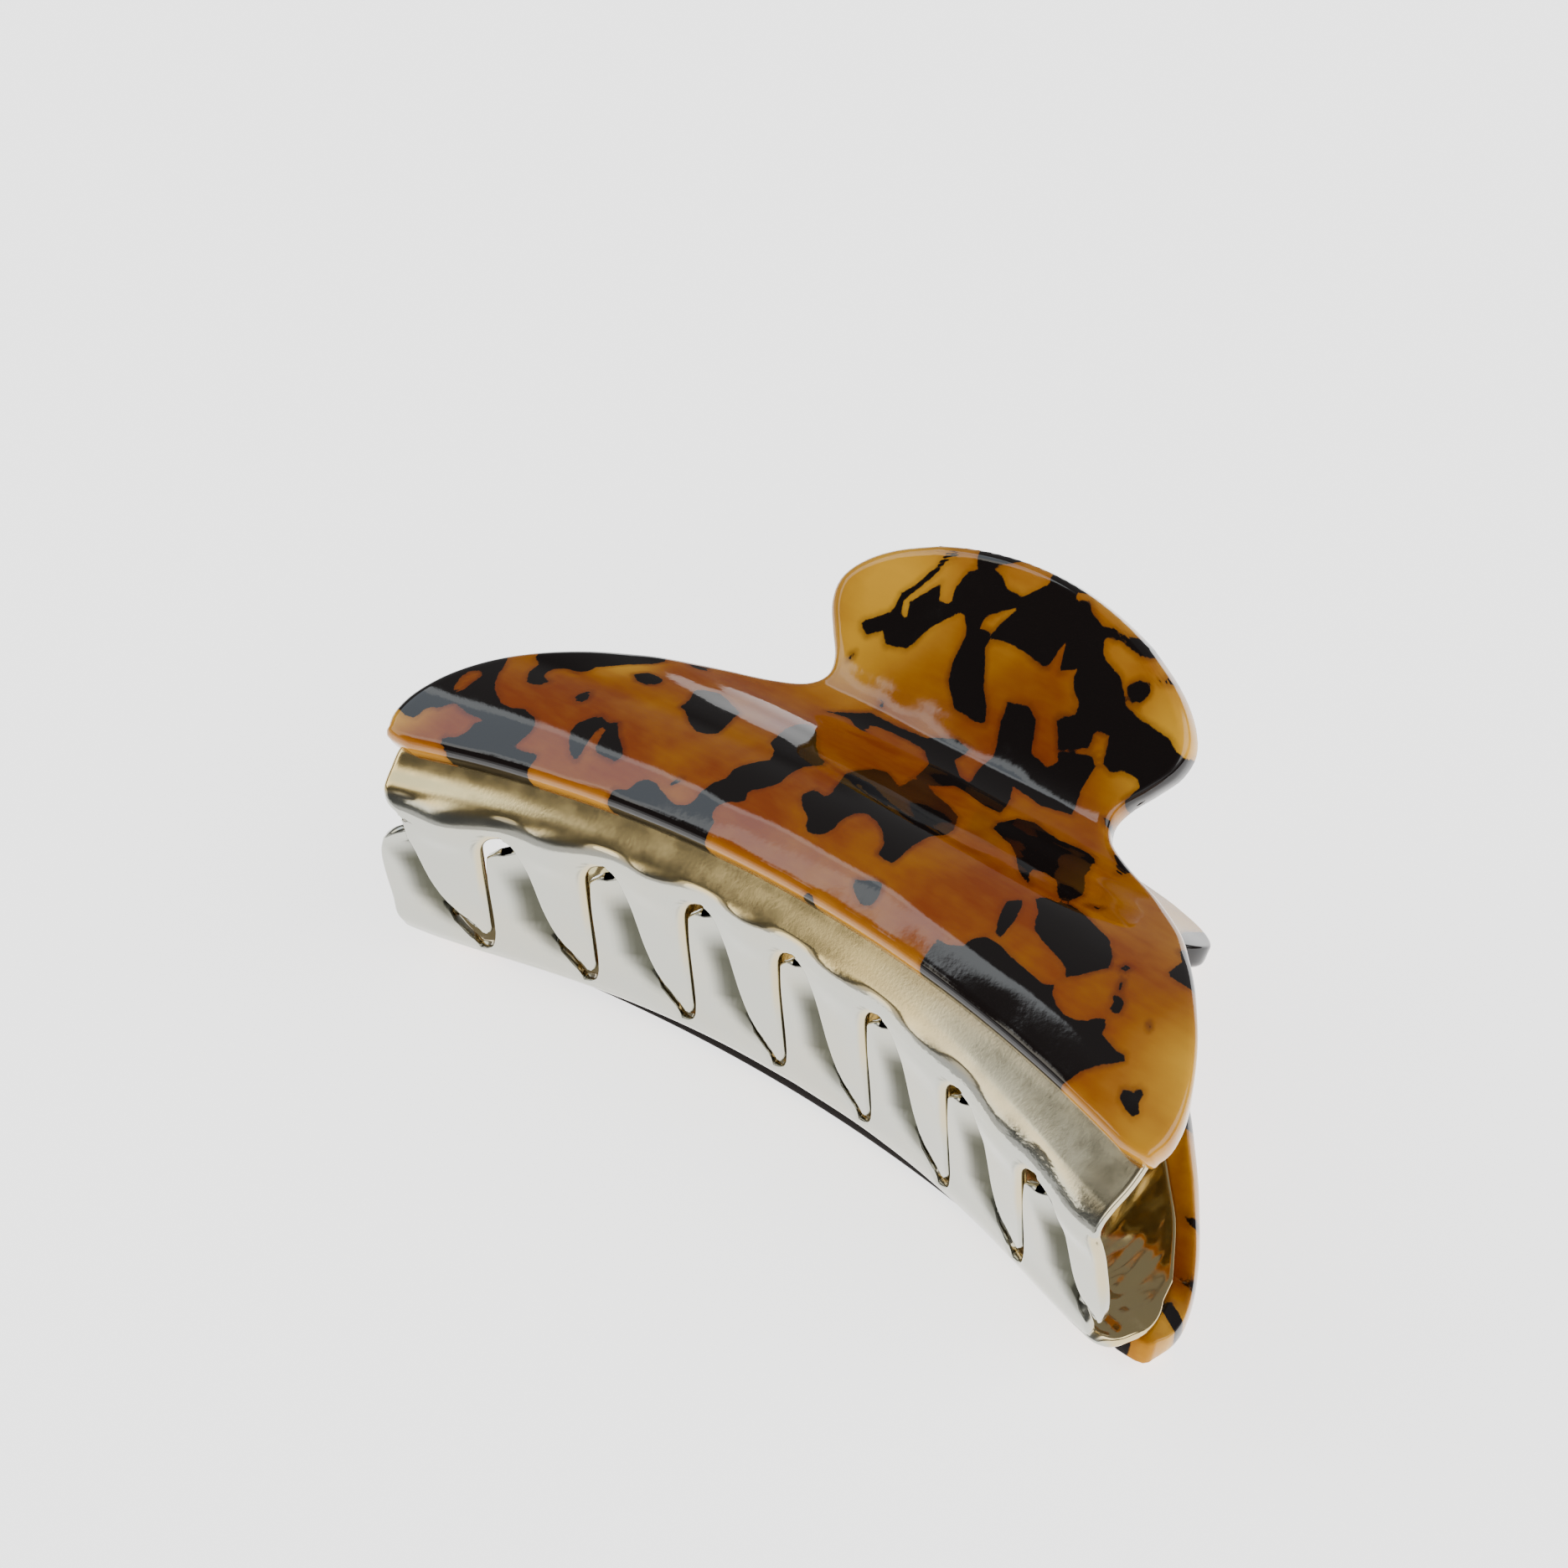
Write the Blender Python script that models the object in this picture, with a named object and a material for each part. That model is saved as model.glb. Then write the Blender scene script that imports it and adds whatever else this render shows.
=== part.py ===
"""Half-moon hair claw clip: tortoiseshell acetate covers on interlocking metal jaws.

The clip lies on its side, on the belly and the thumb tab of its lower cover, with
+X along its length, +Y from the teeth to the thumb tabs and +Z up.
Sizes are millimetres in the clip's own frame, in which x runs along the clip,
y up from the covers' lower edge to the thumb tabs, and z out from the mid-plane
between the two halves. The last step of every shape turns it into the resting pose.
"""
import math

import bmesh
import bpy
import numpy as np
from mathutils import Matrix, Vector

MM = 0.001

# Covers
COVER_THICKNESS = 3.0
COVER_EDGE_ROUND = 1.1
COVER_ARCH = 0.0029
COVER_DOME = 0.0008
ARCH_END = 29.0
COVER_TURN = math.radians(0.9)
COVER_SHIFT = -0.25
TAB_CROWN = 0.0102
TAB_CROWN_POWER = 6
COVER_PROFILE = (  # height, outer face's distance from the mid-plane
    (-3.0, 18.0), (0.0, 19.1), (4.0, 20.2), (8.0, 20.4), (12.0, 19.4), (16.0, 17.3),
    (20.0, 14.6), (24.0, 12.2), (28.0, 11.4), (32.0, 12.6), (36.0, 15.3), (40.0, 18.7),
    (44.0, 22.1), (48.0, 25.5))
COVER_HALF_WIDTH = (  # height, half width of the outline
    (-1.3, 48.2), (-0.6, 50.7), (1.0, 52.0), (4.0, 52.4), (7.0, 51.2), (10.5, 48.5), (14.0, 44.9),
    (18.0, 40.3), (22.0, 35.0), (24.6, 30.0), (26.5, 25.0), (28.2, 21.4), (30.0, 19.8),
    (32.0, 20.2), (34.2, 22.1), (36.6, 23.9), (38.6, 24.1), (41.0, 22.2), (43.0, 19.0), (44.9, 14.3))
COVER_COLUMNS = 16
COLUMN_CROWDING = 0.3

# Jaws
METAL_THICKNESS = 1.2
SEAT_GAP = 0.3
BASE_DEPTH = COVER_THICKNESS + SEAT_GAP
NECK_RELIEF = 0.65
NECK_RELIEF_START = 17.0
NECK_RELIEF_RISE = 7.0
TOOTH_COUNT = 8
MIDDLE_TOOTH = 3
TOOTH_PITCH = 12.5
SLIT_TO_SLOT = 2.5
SLOT_ROW = -7.76
LEVEL_SHIFT = 18.66
FLANGE_SECTION = (  # row, y and z added to the seat's edge, share of the teeth's arch, added dome
    (0.0, 0.0, 0.0, 0.0, 0.0), (-0.9, -0.85, -0.35, 0.0, 0.0), (-1.75, -1.6, -0.8, 0.05, 0.0),
    (-3.2, -2.9, -1.5, 0.18, 0.0), (-4.5, -4.0, -2.2, 0.4, -0.0001),
    (-5.6, -4.8, -3.0, 0.65, -0.0001), (-6.6, -5.2, -3.95, 0.9, -0.0001),
    (-7.6, -5.3, -4.9, 1.0, -0.0001), (-12.66, -5.35, -9.96, 1.0, -0.0005),
    (-18.66, -5.35, -15.96, 1.0, -0.0008), (-24.66, -5.3, -21.96, 1.0, -0.0018),
    (-28.66, -5.1, -25.96, 1.0, -0.0025))
TEETH_ARCH = (  # distance from the middle, how far the row of teeth drops there
    (0.0, 0.0), (10.0, 0.45), (20.0, 1.82), (30.0, 4.1), (37.0, 6.15), (42.0, 7.7), (46.0, 8.8),
    (51.0, 9.8), (55.0, 10.4))
UNTURN_ROW = -4.5
CURVED_EDGE = (  # x from the slit, level above the mid-plane, from slot top to tip
    (-10.0, 10.9), (-8.9, 10.6), (-8.0, 9.7), (-7.3, 7.9), (-6.8, 5.4), (-6.4, 2.5), (-6.05, 0.0),
    (-5.4, -3.0), (-4.5, -5.6), (-2.7, -8.6))
LOWER_CURVED_EDGE = (  # the same on the lower jaw, whose teeth are wider and rolled in there
    (-10.0, 10.9), (-9.95, 10.6), (-9.7, 9.5), (-8.6, 7.6), (-7.35, 5.4), (-7.35, 2.5),
    (-7.35, 0.0), (-7.0, -3.0), (-6.6, -5.6), (-5.7, -8.6))
STRAIGHT_EDGE = (
    (2.5, 10.9), (1.3, 10.4), (0.6, 9.3), (0.25, 7.7), (0.05, 5.4), (-0.1, 2.8), (-0.2, 0.0),
    (-0.3, -2.8), (-0.45, -5.4), (-0.7, -8.6))
LAST_EDGE = (  # outer edge of the last tooth, x from its slit
    (-0.3, 10.9), (0.1, 9.8), (0.25, 8.3), (0.3, 6.2), (0.4, 3.8), (0.5, 1.3), (0.5, -1.2),
    (0.4, -3.4), (0.2, -5.6), (-0.3, -8.4))
CURL_WIDTH = 4.2
CURL_DEPTH = 3.2
CURL_END = 2.2
CURL_START = 6.4
CURL_REACH = 1.5
SHOULDER_SHIFT = (-1.6, 0.0, 0.0, 0.0, 0.0, 0.5, 1.2, 2.0)
LOWER_SHOULDER_SHIFT = (-1.6, 0.0, 0.0, 0.0, 0.0, 0.0, 0.0, 0.0)
TIP_SHIFT = (0.0, 0.0, 0.0, 0.0, 0.0, 0.0, 0.1, 1.7)
TIP_SAG = 1.5
SLOT_EASE = 3.0
TOOTH_ROWS = 8
TOOTH_COLUMNS = 3
FLANGE_ROWS = (-1.5, -3.2, -4.7, -6.1, SLOT_ROW)
BASE_ROWS = (1.0, 0.94, 0.88, 0.82, 0.74, 0.66, 0.56, 0.46, 0.34, 0.22, 0.1, 0.0)
BASE_TOP = (  # distance from the middle, height of the base's upper edge
    (0.0, 32.0), (8.0, 32.0), (10.0, 31.4), (12.5, 28.4), (15.0, 25.6), (20.0, 24.0), (25.0, 22.6),
    (31.0, 20.9), (36.5, 17.9), (41.0, 14.7), (45.0, 11.3), (47.5, 8.2), (49.5, 5.4))
LEFT_END = (  # row, x of the jaw's end beside its first tooth
    (-7.4, -47.3), (-6.0, -49.2), (-4.0, -50.4), (-2.0, -50.8), (0.0, -50.8), (2.5, -50.3), (5.4, -48.8))
RIGHT_END = (
    (-7.4, 49.7), (-6.0, 49.7), (-4.0, 50.0), (-2.0, 50.4), (0.0, 50.5), (2.5, 49.9), (5.4, 48.6))

# Hinge
HINGE_HEIGHT = 23.0
PIN_RADIUS = 1.2
PIN_CLEARANCE = 0.3
PIN_HEAD_RADIUS = 1.9
PIN_HEAD_LENGTH = 0.8
PIN_HEAD_OVERLAP = 0.2
HOLE_CUTTER_REACH = 2.0
EAR_RADIUS = 2.9
EAR_THICKNESS = 1.3
EAR_OUTER = 12.75
EAR_INNER = EAR_OUTER - EAR_THICKNESS - SEAT_GAP
EAR_ROOT = (17.5, 20.5, 23.5, 26.5)
EAR_ARC_START = math.radians(30.0)
EAR_ARC = math.radians(240.0)
ARC_SIDES = 12
SPRING_WIRE = 0.6
SPRING_RADIUS = 2.6
SPRING_HALF_LENGTH = 9.6
SPRING_TURNS = 8.5
ARM_TURNS = 1.0
ARM_GAP_STEPS = 1
SPRING_SIDES = 6
SPRING_STEPS = 10
LEG_HEIGHT = 30.5
LEG_START_RISE = 1.5

# Resting pose
REST_TILT = math.radians(5.83)
MIDDLE_Y = 17.9985
LIFT = 19.6893
SMOOTH_ANGLE = math.radians(38.0)
SAMPLE_STEP = 0.05
MERGE_DISTANCE = 0.02

AMBER = (0.42, 0.13, 0.02, 1.0)
PALE_GOLD = (0.80, 0.76, 0.62, 1.0)
STEEL = (0.55, 0.54, 0.50, 1.0)


def smooth_curve(table, column=1):
    """A smooth curve through a table's points, as a function of its first column."""
    knots = np.array([row[0] for row in table], dtype=float)
    values = np.array([row[column] for row in table], dtype=float)
    if knots[0] > knots[-1]:
        knots, values = knots[::-1], values[::-1]
    slopes = np.gradient(values, knots)

    def curve(at):
        at = np.clip(at, knots[0], knots[-1])
        i = int(np.clip(np.searchsorted(knots, at) - 1, 0, len(knots) - 2))
        span = knots[i + 1] - knots[i]
        t = (at - knots[i]) / span
        start = (2 * t**3 - 3 * t**2 + 1) * values[i] + (t**3 - 2 * t**2 + t) * span * slopes[i]
        end = (3 * t**2 - 2 * t**3) * values[i + 1] + (t**3 - t**2) * span * slopes[i + 1]
        return float(start + end)

    return curve


cover_profile = smooth_curve(COVER_PROFILE)
cover_half_width = smooth_curve(COVER_HALF_WIDTH)
flange_section = [smooth_curve(FLANGE_SECTION, column) for column in (1, 2, 3, 4)]
teeth_arch = smooth_curve(TEETH_ARCH)
base_top = smooth_curve(BASE_TOP)
left_end = smooth_curve(LEFT_END)
right_end = smooth_curve(RIGHT_END)
lower_edge_x = smooth_curve([(level, x) for x, level in LOWER_CURVED_EDGE])
lower_edge_share = smooth_curve(
    [(level, i / (len(LOWER_CURVED_EDGE) - 1)) for i, (x, level) in enumerate(LOWER_CURVED_EDGE)])


def plain_cover_face(x, height):
    """Outer face of a cover: arched along its length low down, straight at the neck."""
    fall = min(max(1.0 - max(height, 0.0) / ARCH_END, 0.0), 1.0)
    bend = fall * fall * (3.0 - 2.0 * fall)
    return Vector((x, height - COVER_ARCH * bend * x * x, cover_profile(height) - COVER_DOME * bend * x * x))


def set_on_jaw(point):
    """A cover's point, turned and shifted a little as it is glued to its jaw."""
    return Matrix.Rotation(COVER_TURN, 3, "Z") @ point + Vector((COVER_SHIFT, 0.0, 0.0))


def cover_face(x, height):
    return set_on_jaw(plain_cover_face(x, height))


def sunk(face, x, row, depth):
    """The point at a depth below a face."""
    along = face(x + SAMPLE_STEP, row) - face(x - SAMPLE_STEP, row)
    up = face(x, row + SAMPLE_STEP) - face(x, row - SAMPLE_STEP)
    return face(x, row) - depth * along.cross(up).normalized()


def base_depth(height):
    """Depth of a jaw's base below its cover's face: a little more at the hollow neck."""
    rise = (height - NECK_RELIEF_START) / NECK_RELIEF_RISE
    return BASE_DEPTH + NECK_RELIEF * min(1.0, max(0.0, rise))


def jaw_face(x, row):
    """Outer face of a jaw: seated under its cover for rows above 0, then flange and teeth."""
    seat = sunk(plain_cover_face, x, max(row, 0.0), base_depth(row))
    if row >= 0.0:
        return set_on_jaw(seat)
    y, z, share, dome = [part(row) for part in flange_section]
    drop = share * (teeth_arch(abs(x)) - COVER_ARCH * x * x)
    unturn = min(1.0, row / UNTURN_ROW)
    unturn = unturn * unturn * (3.0 - 2.0 * unturn)
    return set_on_jaw(seat).lerp(seat, unturn) + Vector((0.0, y - drop, z - dome * x * x))


def smooth_step(start, end, at):
    """0 before the start, 1 after the end, and a smooth rise between them."""
    share = min(1.0, max(0.0, (at - start) / (end - start)))
    return share * share * (3.0 - 2.0 * share)


def curved_side(tooth, level):
    """x of a lower tooth's curved side at a level."""
    slit = (tooth - MIDDLE_TOOTH) * TOOTH_PITCH
    shoulder = LOWER_SHOULDER_SHIFT[tooth]
    share = lower_edge_share(level)
    return slit + lower_edge_x(level) + shoulder + share * share * (TIP_SHIFT[tooth] - shoulder)


def lower_jaw_face(x, row):
    """The lower jaw's outer face, with the curved side of each tooth rolled inward."""
    level = row + LEVEL_SHIFT
    insets = [x - curved_side(tooth, level) for tooth in range(TOOTH_COUNT)]
    inset = min([max(0.0, gap) for gap in insets if gap > -CURL_REACH], default=CURL_WIDTH)
    share = max(0.0, 1.0 - inset / CURL_WIDTH)
    fade = 1.0 - smooth_step(CURL_END, CURL_START, level)
    return jaw_face(x, row) + Vector((0.0, CURL_DEPTH * share * share * fade, 0.0))


def upright(point):
    """From the clip's frame to the resting pose, before the lift to the floor."""
    return Matrix.Rotation(REST_TILT, 3, "X") @ Vector(point)


def cover_grid():
    """Outline of the cover as rows of points, from its lower edge to the tab's top."""
    heights = [row[0] for row in COVER_HALF_WIDTH]
    rows = []
    for height in heights:
        half = cover_half_width(height)
        crown = TAB_CROWN * max(0.0, (height - heights[0]) / (heights[-1] - heights[0])) ** TAB_CROWN_POWER
        rows.append([spaced_point(half, height, crown, i) for i in range(COVER_COLUMNS + 1)])
    return rows


def spaced_point(half, height, crown, column):
    """A point of one row: columns crowd a little towards the outline."""
    share = 2.0 * column / COVER_COLUMNS - 1.0
    share = share * (1.0 + COLUMN_CROWDING - COLUMN_CROWDING * share * share)
    x = half * share
    return (x, height + crown * (half * half - x * x))


def along_edge(edge, share):
    """The point at a share of the way along a tooth's edge."""
    place = share * (len(edge) - 1)
    numbered_x = [(i, point[0]) for i, point in enumerate(edge)]
    numbered_level = [(i, point[1]) for i, point in enumerate(edge)]
    return smooth_curve(numbered_x)(place), smooth_curve(numbered_level)(place)


def jaw_columns(tooth, curved_edge, shoulder):
    """Quads of one tooth with the flange and base above it, as rows of points."""
    slit = (tooth - MIDDLE_TOOTH) * TOOTH_PITCH
    left = slit - TOOTH_PITCH + SLIT_TO_SLOT
    rows = []
    for share in BASE_ROWS:
        rows.append(shared_row(tooth, left, share, None))
    for row in FLANGE_ROWS:
        rows.append(shared_row(tooth, left, 0.0, row))
    for step in range(1, TOOTH_ROWS + 1):
        share = step / TOOTH_ROWS
        start = along_edge(curved_edge, share)
        end = along_edge(LAST_EDGE if tooth == TOOTH_COUNT - 1 else STRAIGHT_EDGE, share)
        sag = TIP_SAG * min(1.0, share * SLOT_EASE)
        ease = max(0.0, 1.0 - share * SLOT_EASE)
        start_x = slit + start[0] + shoulder + share * share * (TIP_SHIFT[tooth] - shoulder)
        end_x = slit + end[0]
        if tooth == 0:
            start_x += ease * (left_end(SLOT_ROW) - left - shoulder)
        line = []
        for column in range(TOOTH_COLUMNS + 1):
            c = column / TOOTH_COLUMNS
            level = start[1] + (end[1] - start[1]) * c - sag * 4.0 * c * (1.0 - c)
            line.append((start_x + (end_x - start_x) * c, level - LEVEL_SHIFT))
        rows.append(line)
    return rows


def shared_row(tooth, left, share, row):
    """A row above the slots, which runs on from one tooth to the next."""
    line = []
    for column in range(TOOTH_COLUMNS + 1):
        c = column / TOOTH_COLUMNS
        x = left + TOOTH_PITCH * c
        end_row = row
        if row is None:
            end_row = share * BASE_TOP[-1][1]
        if tooth == 0:
            x += (1.0 - c) * (left_end(end_row) - left)
        if tooth == TOOTH_COUNT - 1:
            x += c * (right_end(end_row) - left - TOOTH_PITCH)
        height = row
        if row is None:
            height = share * base_top(abs(x))
        line.append((x, height))
    return line


def sheet_object(name, patches, face, place, thickness, material, flip):
    """A solid sheet from patches of rows of points laid on a face."""
    mesh = bpy.data.meshes.new(name)
    bm = bmesh.new()
    for rows in patches:
        grid = []
        for line in rows:
            grid.append([bm.verts.new(place(face(x, row))) for x, row in line])
        for low, high in zip(grid[:-1], grid[1:]):
            for i in range(len(low) - 1):
                corners = (low[i], low[i + 1], high[i + 1], high[i])
                bm.faces.new(corners[::-1] if flip else corners)
    bmesh.ops.remove_doubles(bm, verts=bm.verts, dist=MERGE_DISTANCE * MM)
    bm.to_mesh(mesh)
    bm.free()
    thing = bpy.data.objects.new(name, mesh)
    bpy.context.scene.collection.objects.link(thing)
    solid = thing.modifiers.new("thickness", "SOLIDIFY")
    solid.thickness = thickness * MM
    solid.offset = -1.0
    solid.use_even_offset = True
    mesh.materials.append(material)
    return thing


def round_edges(thing, width, segments):
    bevel = thing.modifiers.new("rounded edge", "BEVEL")
    bevel.width = width * MM
    bevel.segments = segments
    bevel.limit_method = "ANGLE"
    bevel.angle_limit = math.radians(50.0)


def plate_material(name, colour, roughness, metallic):
    material = bpy.data.materials.new(name)
    material.use_nodes = True
    shader = material.node_tree.nodes["Principled BSDF"]
    shader.inputs["Base Color"].default_value = colour
    shader.inputs["Roughness"].default_value = roughness
    shader.inputs["Metallic"].default_value = metallic
    return material


def upper_place(point):
    """Resting pose in metres for the upper half."""
    x, y, z = upright(point)
    return Vector((x, y - MIDDLE_Y, z + LIFT)) * MM


def lower_place(point):
    """The same place on the lower half: the upper turned half round the clip's height axis."""
    return upper_place((-point[0], point[1], -point[2]))


def jaw_ear(name, x_middle, place):
    """One hinge ear: a plate from the base down to the pin, with its hole."""
    half_metal = 0.5 * METAL_THICKNESS
    rim = [sunk(cover_face, x_middle, height, base_depth(height) + half_metal) for height in EAR_ROOT]
    outline = [(point.y, point.z) for point in rim]
    for step in range(ARC_SIDES + 1):
        angle = EAR_ARC_START - EAR_ARC * step / ARC_SIDES
        outline.append((HINGE_HEIGHT + EAR_RADIUS * math.cos(angle), EAR_RADIUS * math.sin(angle)))
    half = 0.5 * EAR_THICKNESS
    return prism(name, outline, x_middle - half, x_middle + half, place)


def circle_outline(radius, sides):
    angles = [2.0 * math.pi * (i + 0.5) / sides for i in range(sides)]
    return [(HINGE_HEIGHT + radius * math.cos(a), radius * math.sin(a)) for a in angles]


def prism(name, outline, x_low, x_high, place):
    """A solid between two planes across the clip, from an outline in y and z."""
    mesh = bpy.data.meshes.new(name)
    bm = bmesh.new()
    low = [bm.verts.new(place((x_low, y, z))) for y, z in outline]
    high = [bm.verts.new(place((x_high, y, z))) for y, z in outline]
    bm.faces.new(low)
    bm.faces.new(high[::-1])
    for i in range(len(outline)):
        j = (i + 1) % len(outline)
        bm.faces.new((low[i], high[i], high[j], low[j]))
    bmesh.ops.recalc_face_normals(bm, faces=bm.faces)
    bm.to_mesh(mesh)
    bm.free()
    thing = bpy.data.objects.new(name, mesh)
    bpy.context.scene.collection.objects.link(thing)
    return thing


def combine(thing, other, operation):
    """Join or cut with another object, which is removed once the shape is finished."""
    boolean = thing.modifiers.new(operation.lower(), "BOOLEAN")
    boolean.operation = operation
    boolean.solver = "EXACT"
    boolean.object = other
    other.hide_render = True
    other.display_type = "WIRE"


def finished(thing):
    """Carry out the modifiers, remove the guides and shade the round faces smooth."""
    guides = [step.object for step in thing.modifiers if step.type == "BOOLEAN"]
    shaped = thing.evaluated_get(bpy.context.evaluated_depsgraph_get())
    mesh = bpy.data.meshes.new_from_object(shaped)
    thing.modifiers.clear()
    thing.data = mesh
    mesh.name = thing.name
    for guide in guides:
        bpy.data.objects.remove(guide, do_unlink=True)
    mesh.shade_smooth()
    mesh.set_sharp_from_angle(angle=SMOOTH_ANGLE)
    return thing


def make_cover(name, place, material):
    cover = sheet_object(name, [cover_grid()], cover_face, place, COVER_THICKNESS, material, False)
    round_edges(cover, COVER_EDGE_ROUND, 2)
    return finished(cover)


def make_jaw(name, face, curved_edge, shoulders, place, material):
    patches = [jaw_columns(tooth, curved_edge, shoulders[tooth]) for tooth in range(TOOTH_COUNT)]
    jaw = sheet_object(name, patches, face, place, METAL_THICKNESS, material, True)
    for side, x_middle in (("outer", EAR_OUTER), ("inner", -EAR_INNER)):
        ear = jaw_ear(name + "_" + side + "_ear", x_middle, place)
        combine(jaw, ear, "UNION")
    hole = circle_outline(PIN_RADIUS + PIN_CLEARANCE, ARC_SIDES)
    reach = EAR_OUTER + HOLE_CUTTER_REACH
    cutter = prism(name + "_pin_hole", hole, -reach, reach, place)
    combine(jaw, cutter, "DIFFERENCE")
    return finished(jaw)


def make_pin(name, material):
    reach = EAR_OUTER + 0.5 * EAR_THICKNESS + SEAT_GAP
    half = reach + PIN_HEAD_OVERLAP
    pin = prism(name, circle_outline(PIN_RADIUS, ARC_SIDES), -half, half, upper_place)
    for side in (-1.0, 1.0):
        ends = sorted((side * reach, side * (reach + PIN_HEAD_LENGTH)))
        outline = circle_outline(PIN_HEAD_RADIUS, ARC_SIDES)
        head = prism(name + "_head", outline, ends[0], ends[1], upper_place)
        combine(pin, head, "UNION")
    pin.data.materials.append(material)
    return finished(pin)


def wire_object(name, points, material):
    """A bent round wire through points in the clip's frame."""
    mesh = bpy.data.meshes.new(name)
    bm = bmesh.new()
    path = [Vector(point) for point in points]
    tangents = []
    for i in range(len(path)):
        ahead = path[min(i + 1, len(path) - 1)] - path[i]
        behind = path[i] - path[max(i - 1, 0)]
        tangents.append((ahead.normalized() + behind.normalized()).normalized())
    side = tangents[0].orthogonal().normalized()
    rings = []
    for i, (point, tangent) in enumerate(zip(path, tangents)):
        if i:
            side = tangents[i - 1].rotation_difference(tangent) @ side
        other = tangent.cross(side)
        ring = []
        for step in range(SPRING_SIDES):
            angle = 2.0 * math.pi * step / SPRING_SIDES
            spoke = side * math.cos(angle) + other * math.sin(angle)
            ring.append(bm.verts.new(upper_place(point + SPRING_WIRE * spoke)))
        rings.append(ring)
    for low, high in zip(rings[:-1], rings[1:]):
        for i in range(SPRING_SIDES):
            j = (i + 1) % SPRING_SIDES
            bm.faces.new((low[i], low[j], high[j], high[i]))
    bm.faces.new(rings[0][::-1])
    bm.faces.new(rings[-1])
    bmesh.ops.recalc_face_normals(bm, faces=bm.faces)
    bm.to_mesh(mesh)
    bm.free()
    wire = bpy.data.objects.new(name, mesh)
    bpy.context.scene.collection.objects.link(wire)
    mesh.materials.append(material)
    return finished(wire)


def coil_points(first, last):
    """Points of the coil round the pin between two step numbers, counted from its start."""
    steps = SPRING_TURNS * SPRING_STEPS
    points = []
    for step in range(first, last + 1):
        angle = -2.0 * math.pi * step / SPRING_STEPS - 0.5 * math.pi
        x = SPRING_HALF_LENGTH * (2.0 * step / steps - 1.0)
        points.append((x, HINGE_HEIGHT + SPRING_RADIUS * math.cos(angle), SPRING_RADIUS * math.sin(angle)))
    return points


def leg_points(x, side):
    """The straight leg from the coil to the base of one half."""
    depth = base_depth(LEG_HEIGHT) + METAL_THICKNESS + SEAT_GAP + SPRING_WIRE
    bearing = sunk(cover_face, x, LEG_HEIGHT, depth)
    start = Vector((x, HINGE_HEIGHT + LEG_START_RISE, side * SPRING_RADIUS))
    end = Vector((x, bearing.y, side * bearing.z))
    return [tuple(start.lerp(end, share)) for share in (0.0, 0.5, 1.0)]


def make_spring(name, material):
    """The coil and the leg that bears on the lower jaw's base."""
    last = round((SPRING_TURNS - ARM_TURNS) * SPRING_STEPS) - ARM_GAP_STEPS
    return wire_object(name, leg_points(-SPRING_HALF_LENGTH, -1.0)[::-1] + coil_points(0, last), material)


def make_arm(name, material):
    """The coil's last turn and the leg that bears on the upper jaw's base."""
    first = round((SPRING_TURNS - ARM_TURNS) * SPRING_STEPS)
    last = round(SPRING_TURNS * SPRING_STEPS)
    return wire_object(name, coil_points(first, last) + leg_points(SPRING_HALF_LENGTH, 1.0), material)


for old in list(bpy.data.objects):
    bpy.data.objects.remove(old, do_unlink=True)

acetate = plate_material("tortoiseshell_acetate", AMBER, 0.12, 0.0)
gold = plate_material("pale_gold_plate", PALE_GOLD, 0.15, 1.0)
steel = plate_material("spring_steel", STEEL, 0.3, 1.0)

make_cover("upper_cover", upper_place, acetate)
make_cover("lower_cover", lower_place, acetate)
make_jaw("upper_jaw", jaw_face, CURVED_EDGE, SHOULDER_SHIFT, upper_place, gold)
make_jaw("lower_jaw", lower_jaw_face, LOWER_CURVED_EDGE, LOWER_SHOULDER_SHIFT, lower_place, gold)
make_pin("hinge_pin", steel)
make_spring("hinge_spring", steel)
make_arm("spring_arm", steel)
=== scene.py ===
"""Tortoiseshell hair claw clip on a pale studio floor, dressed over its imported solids."""
import math

import bpy
import numpy as np
from mathutils import Matrix, Vector, kdtree


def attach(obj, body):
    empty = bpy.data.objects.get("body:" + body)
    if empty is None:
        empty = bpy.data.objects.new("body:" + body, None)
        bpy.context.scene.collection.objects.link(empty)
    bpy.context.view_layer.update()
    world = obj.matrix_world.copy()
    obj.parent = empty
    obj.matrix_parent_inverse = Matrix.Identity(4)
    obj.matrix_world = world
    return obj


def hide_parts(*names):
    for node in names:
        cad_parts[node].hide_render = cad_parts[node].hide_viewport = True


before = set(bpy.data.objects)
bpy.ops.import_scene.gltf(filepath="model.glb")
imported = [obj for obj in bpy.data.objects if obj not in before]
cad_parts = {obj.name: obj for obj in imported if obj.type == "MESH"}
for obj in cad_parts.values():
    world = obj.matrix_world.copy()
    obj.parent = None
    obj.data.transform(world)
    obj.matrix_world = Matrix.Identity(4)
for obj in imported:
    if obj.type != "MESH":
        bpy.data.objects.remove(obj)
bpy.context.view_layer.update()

MM = 0.001

# The clip's own frame in the resting pose, in millimetres as in the part's source
REST_TILT = math.radians(5.83)
MIDDLE_Y = 17.9985
LIFT = 19.7343  # a hair more than the part's, so that the finer mesh stays above the floor

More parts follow.
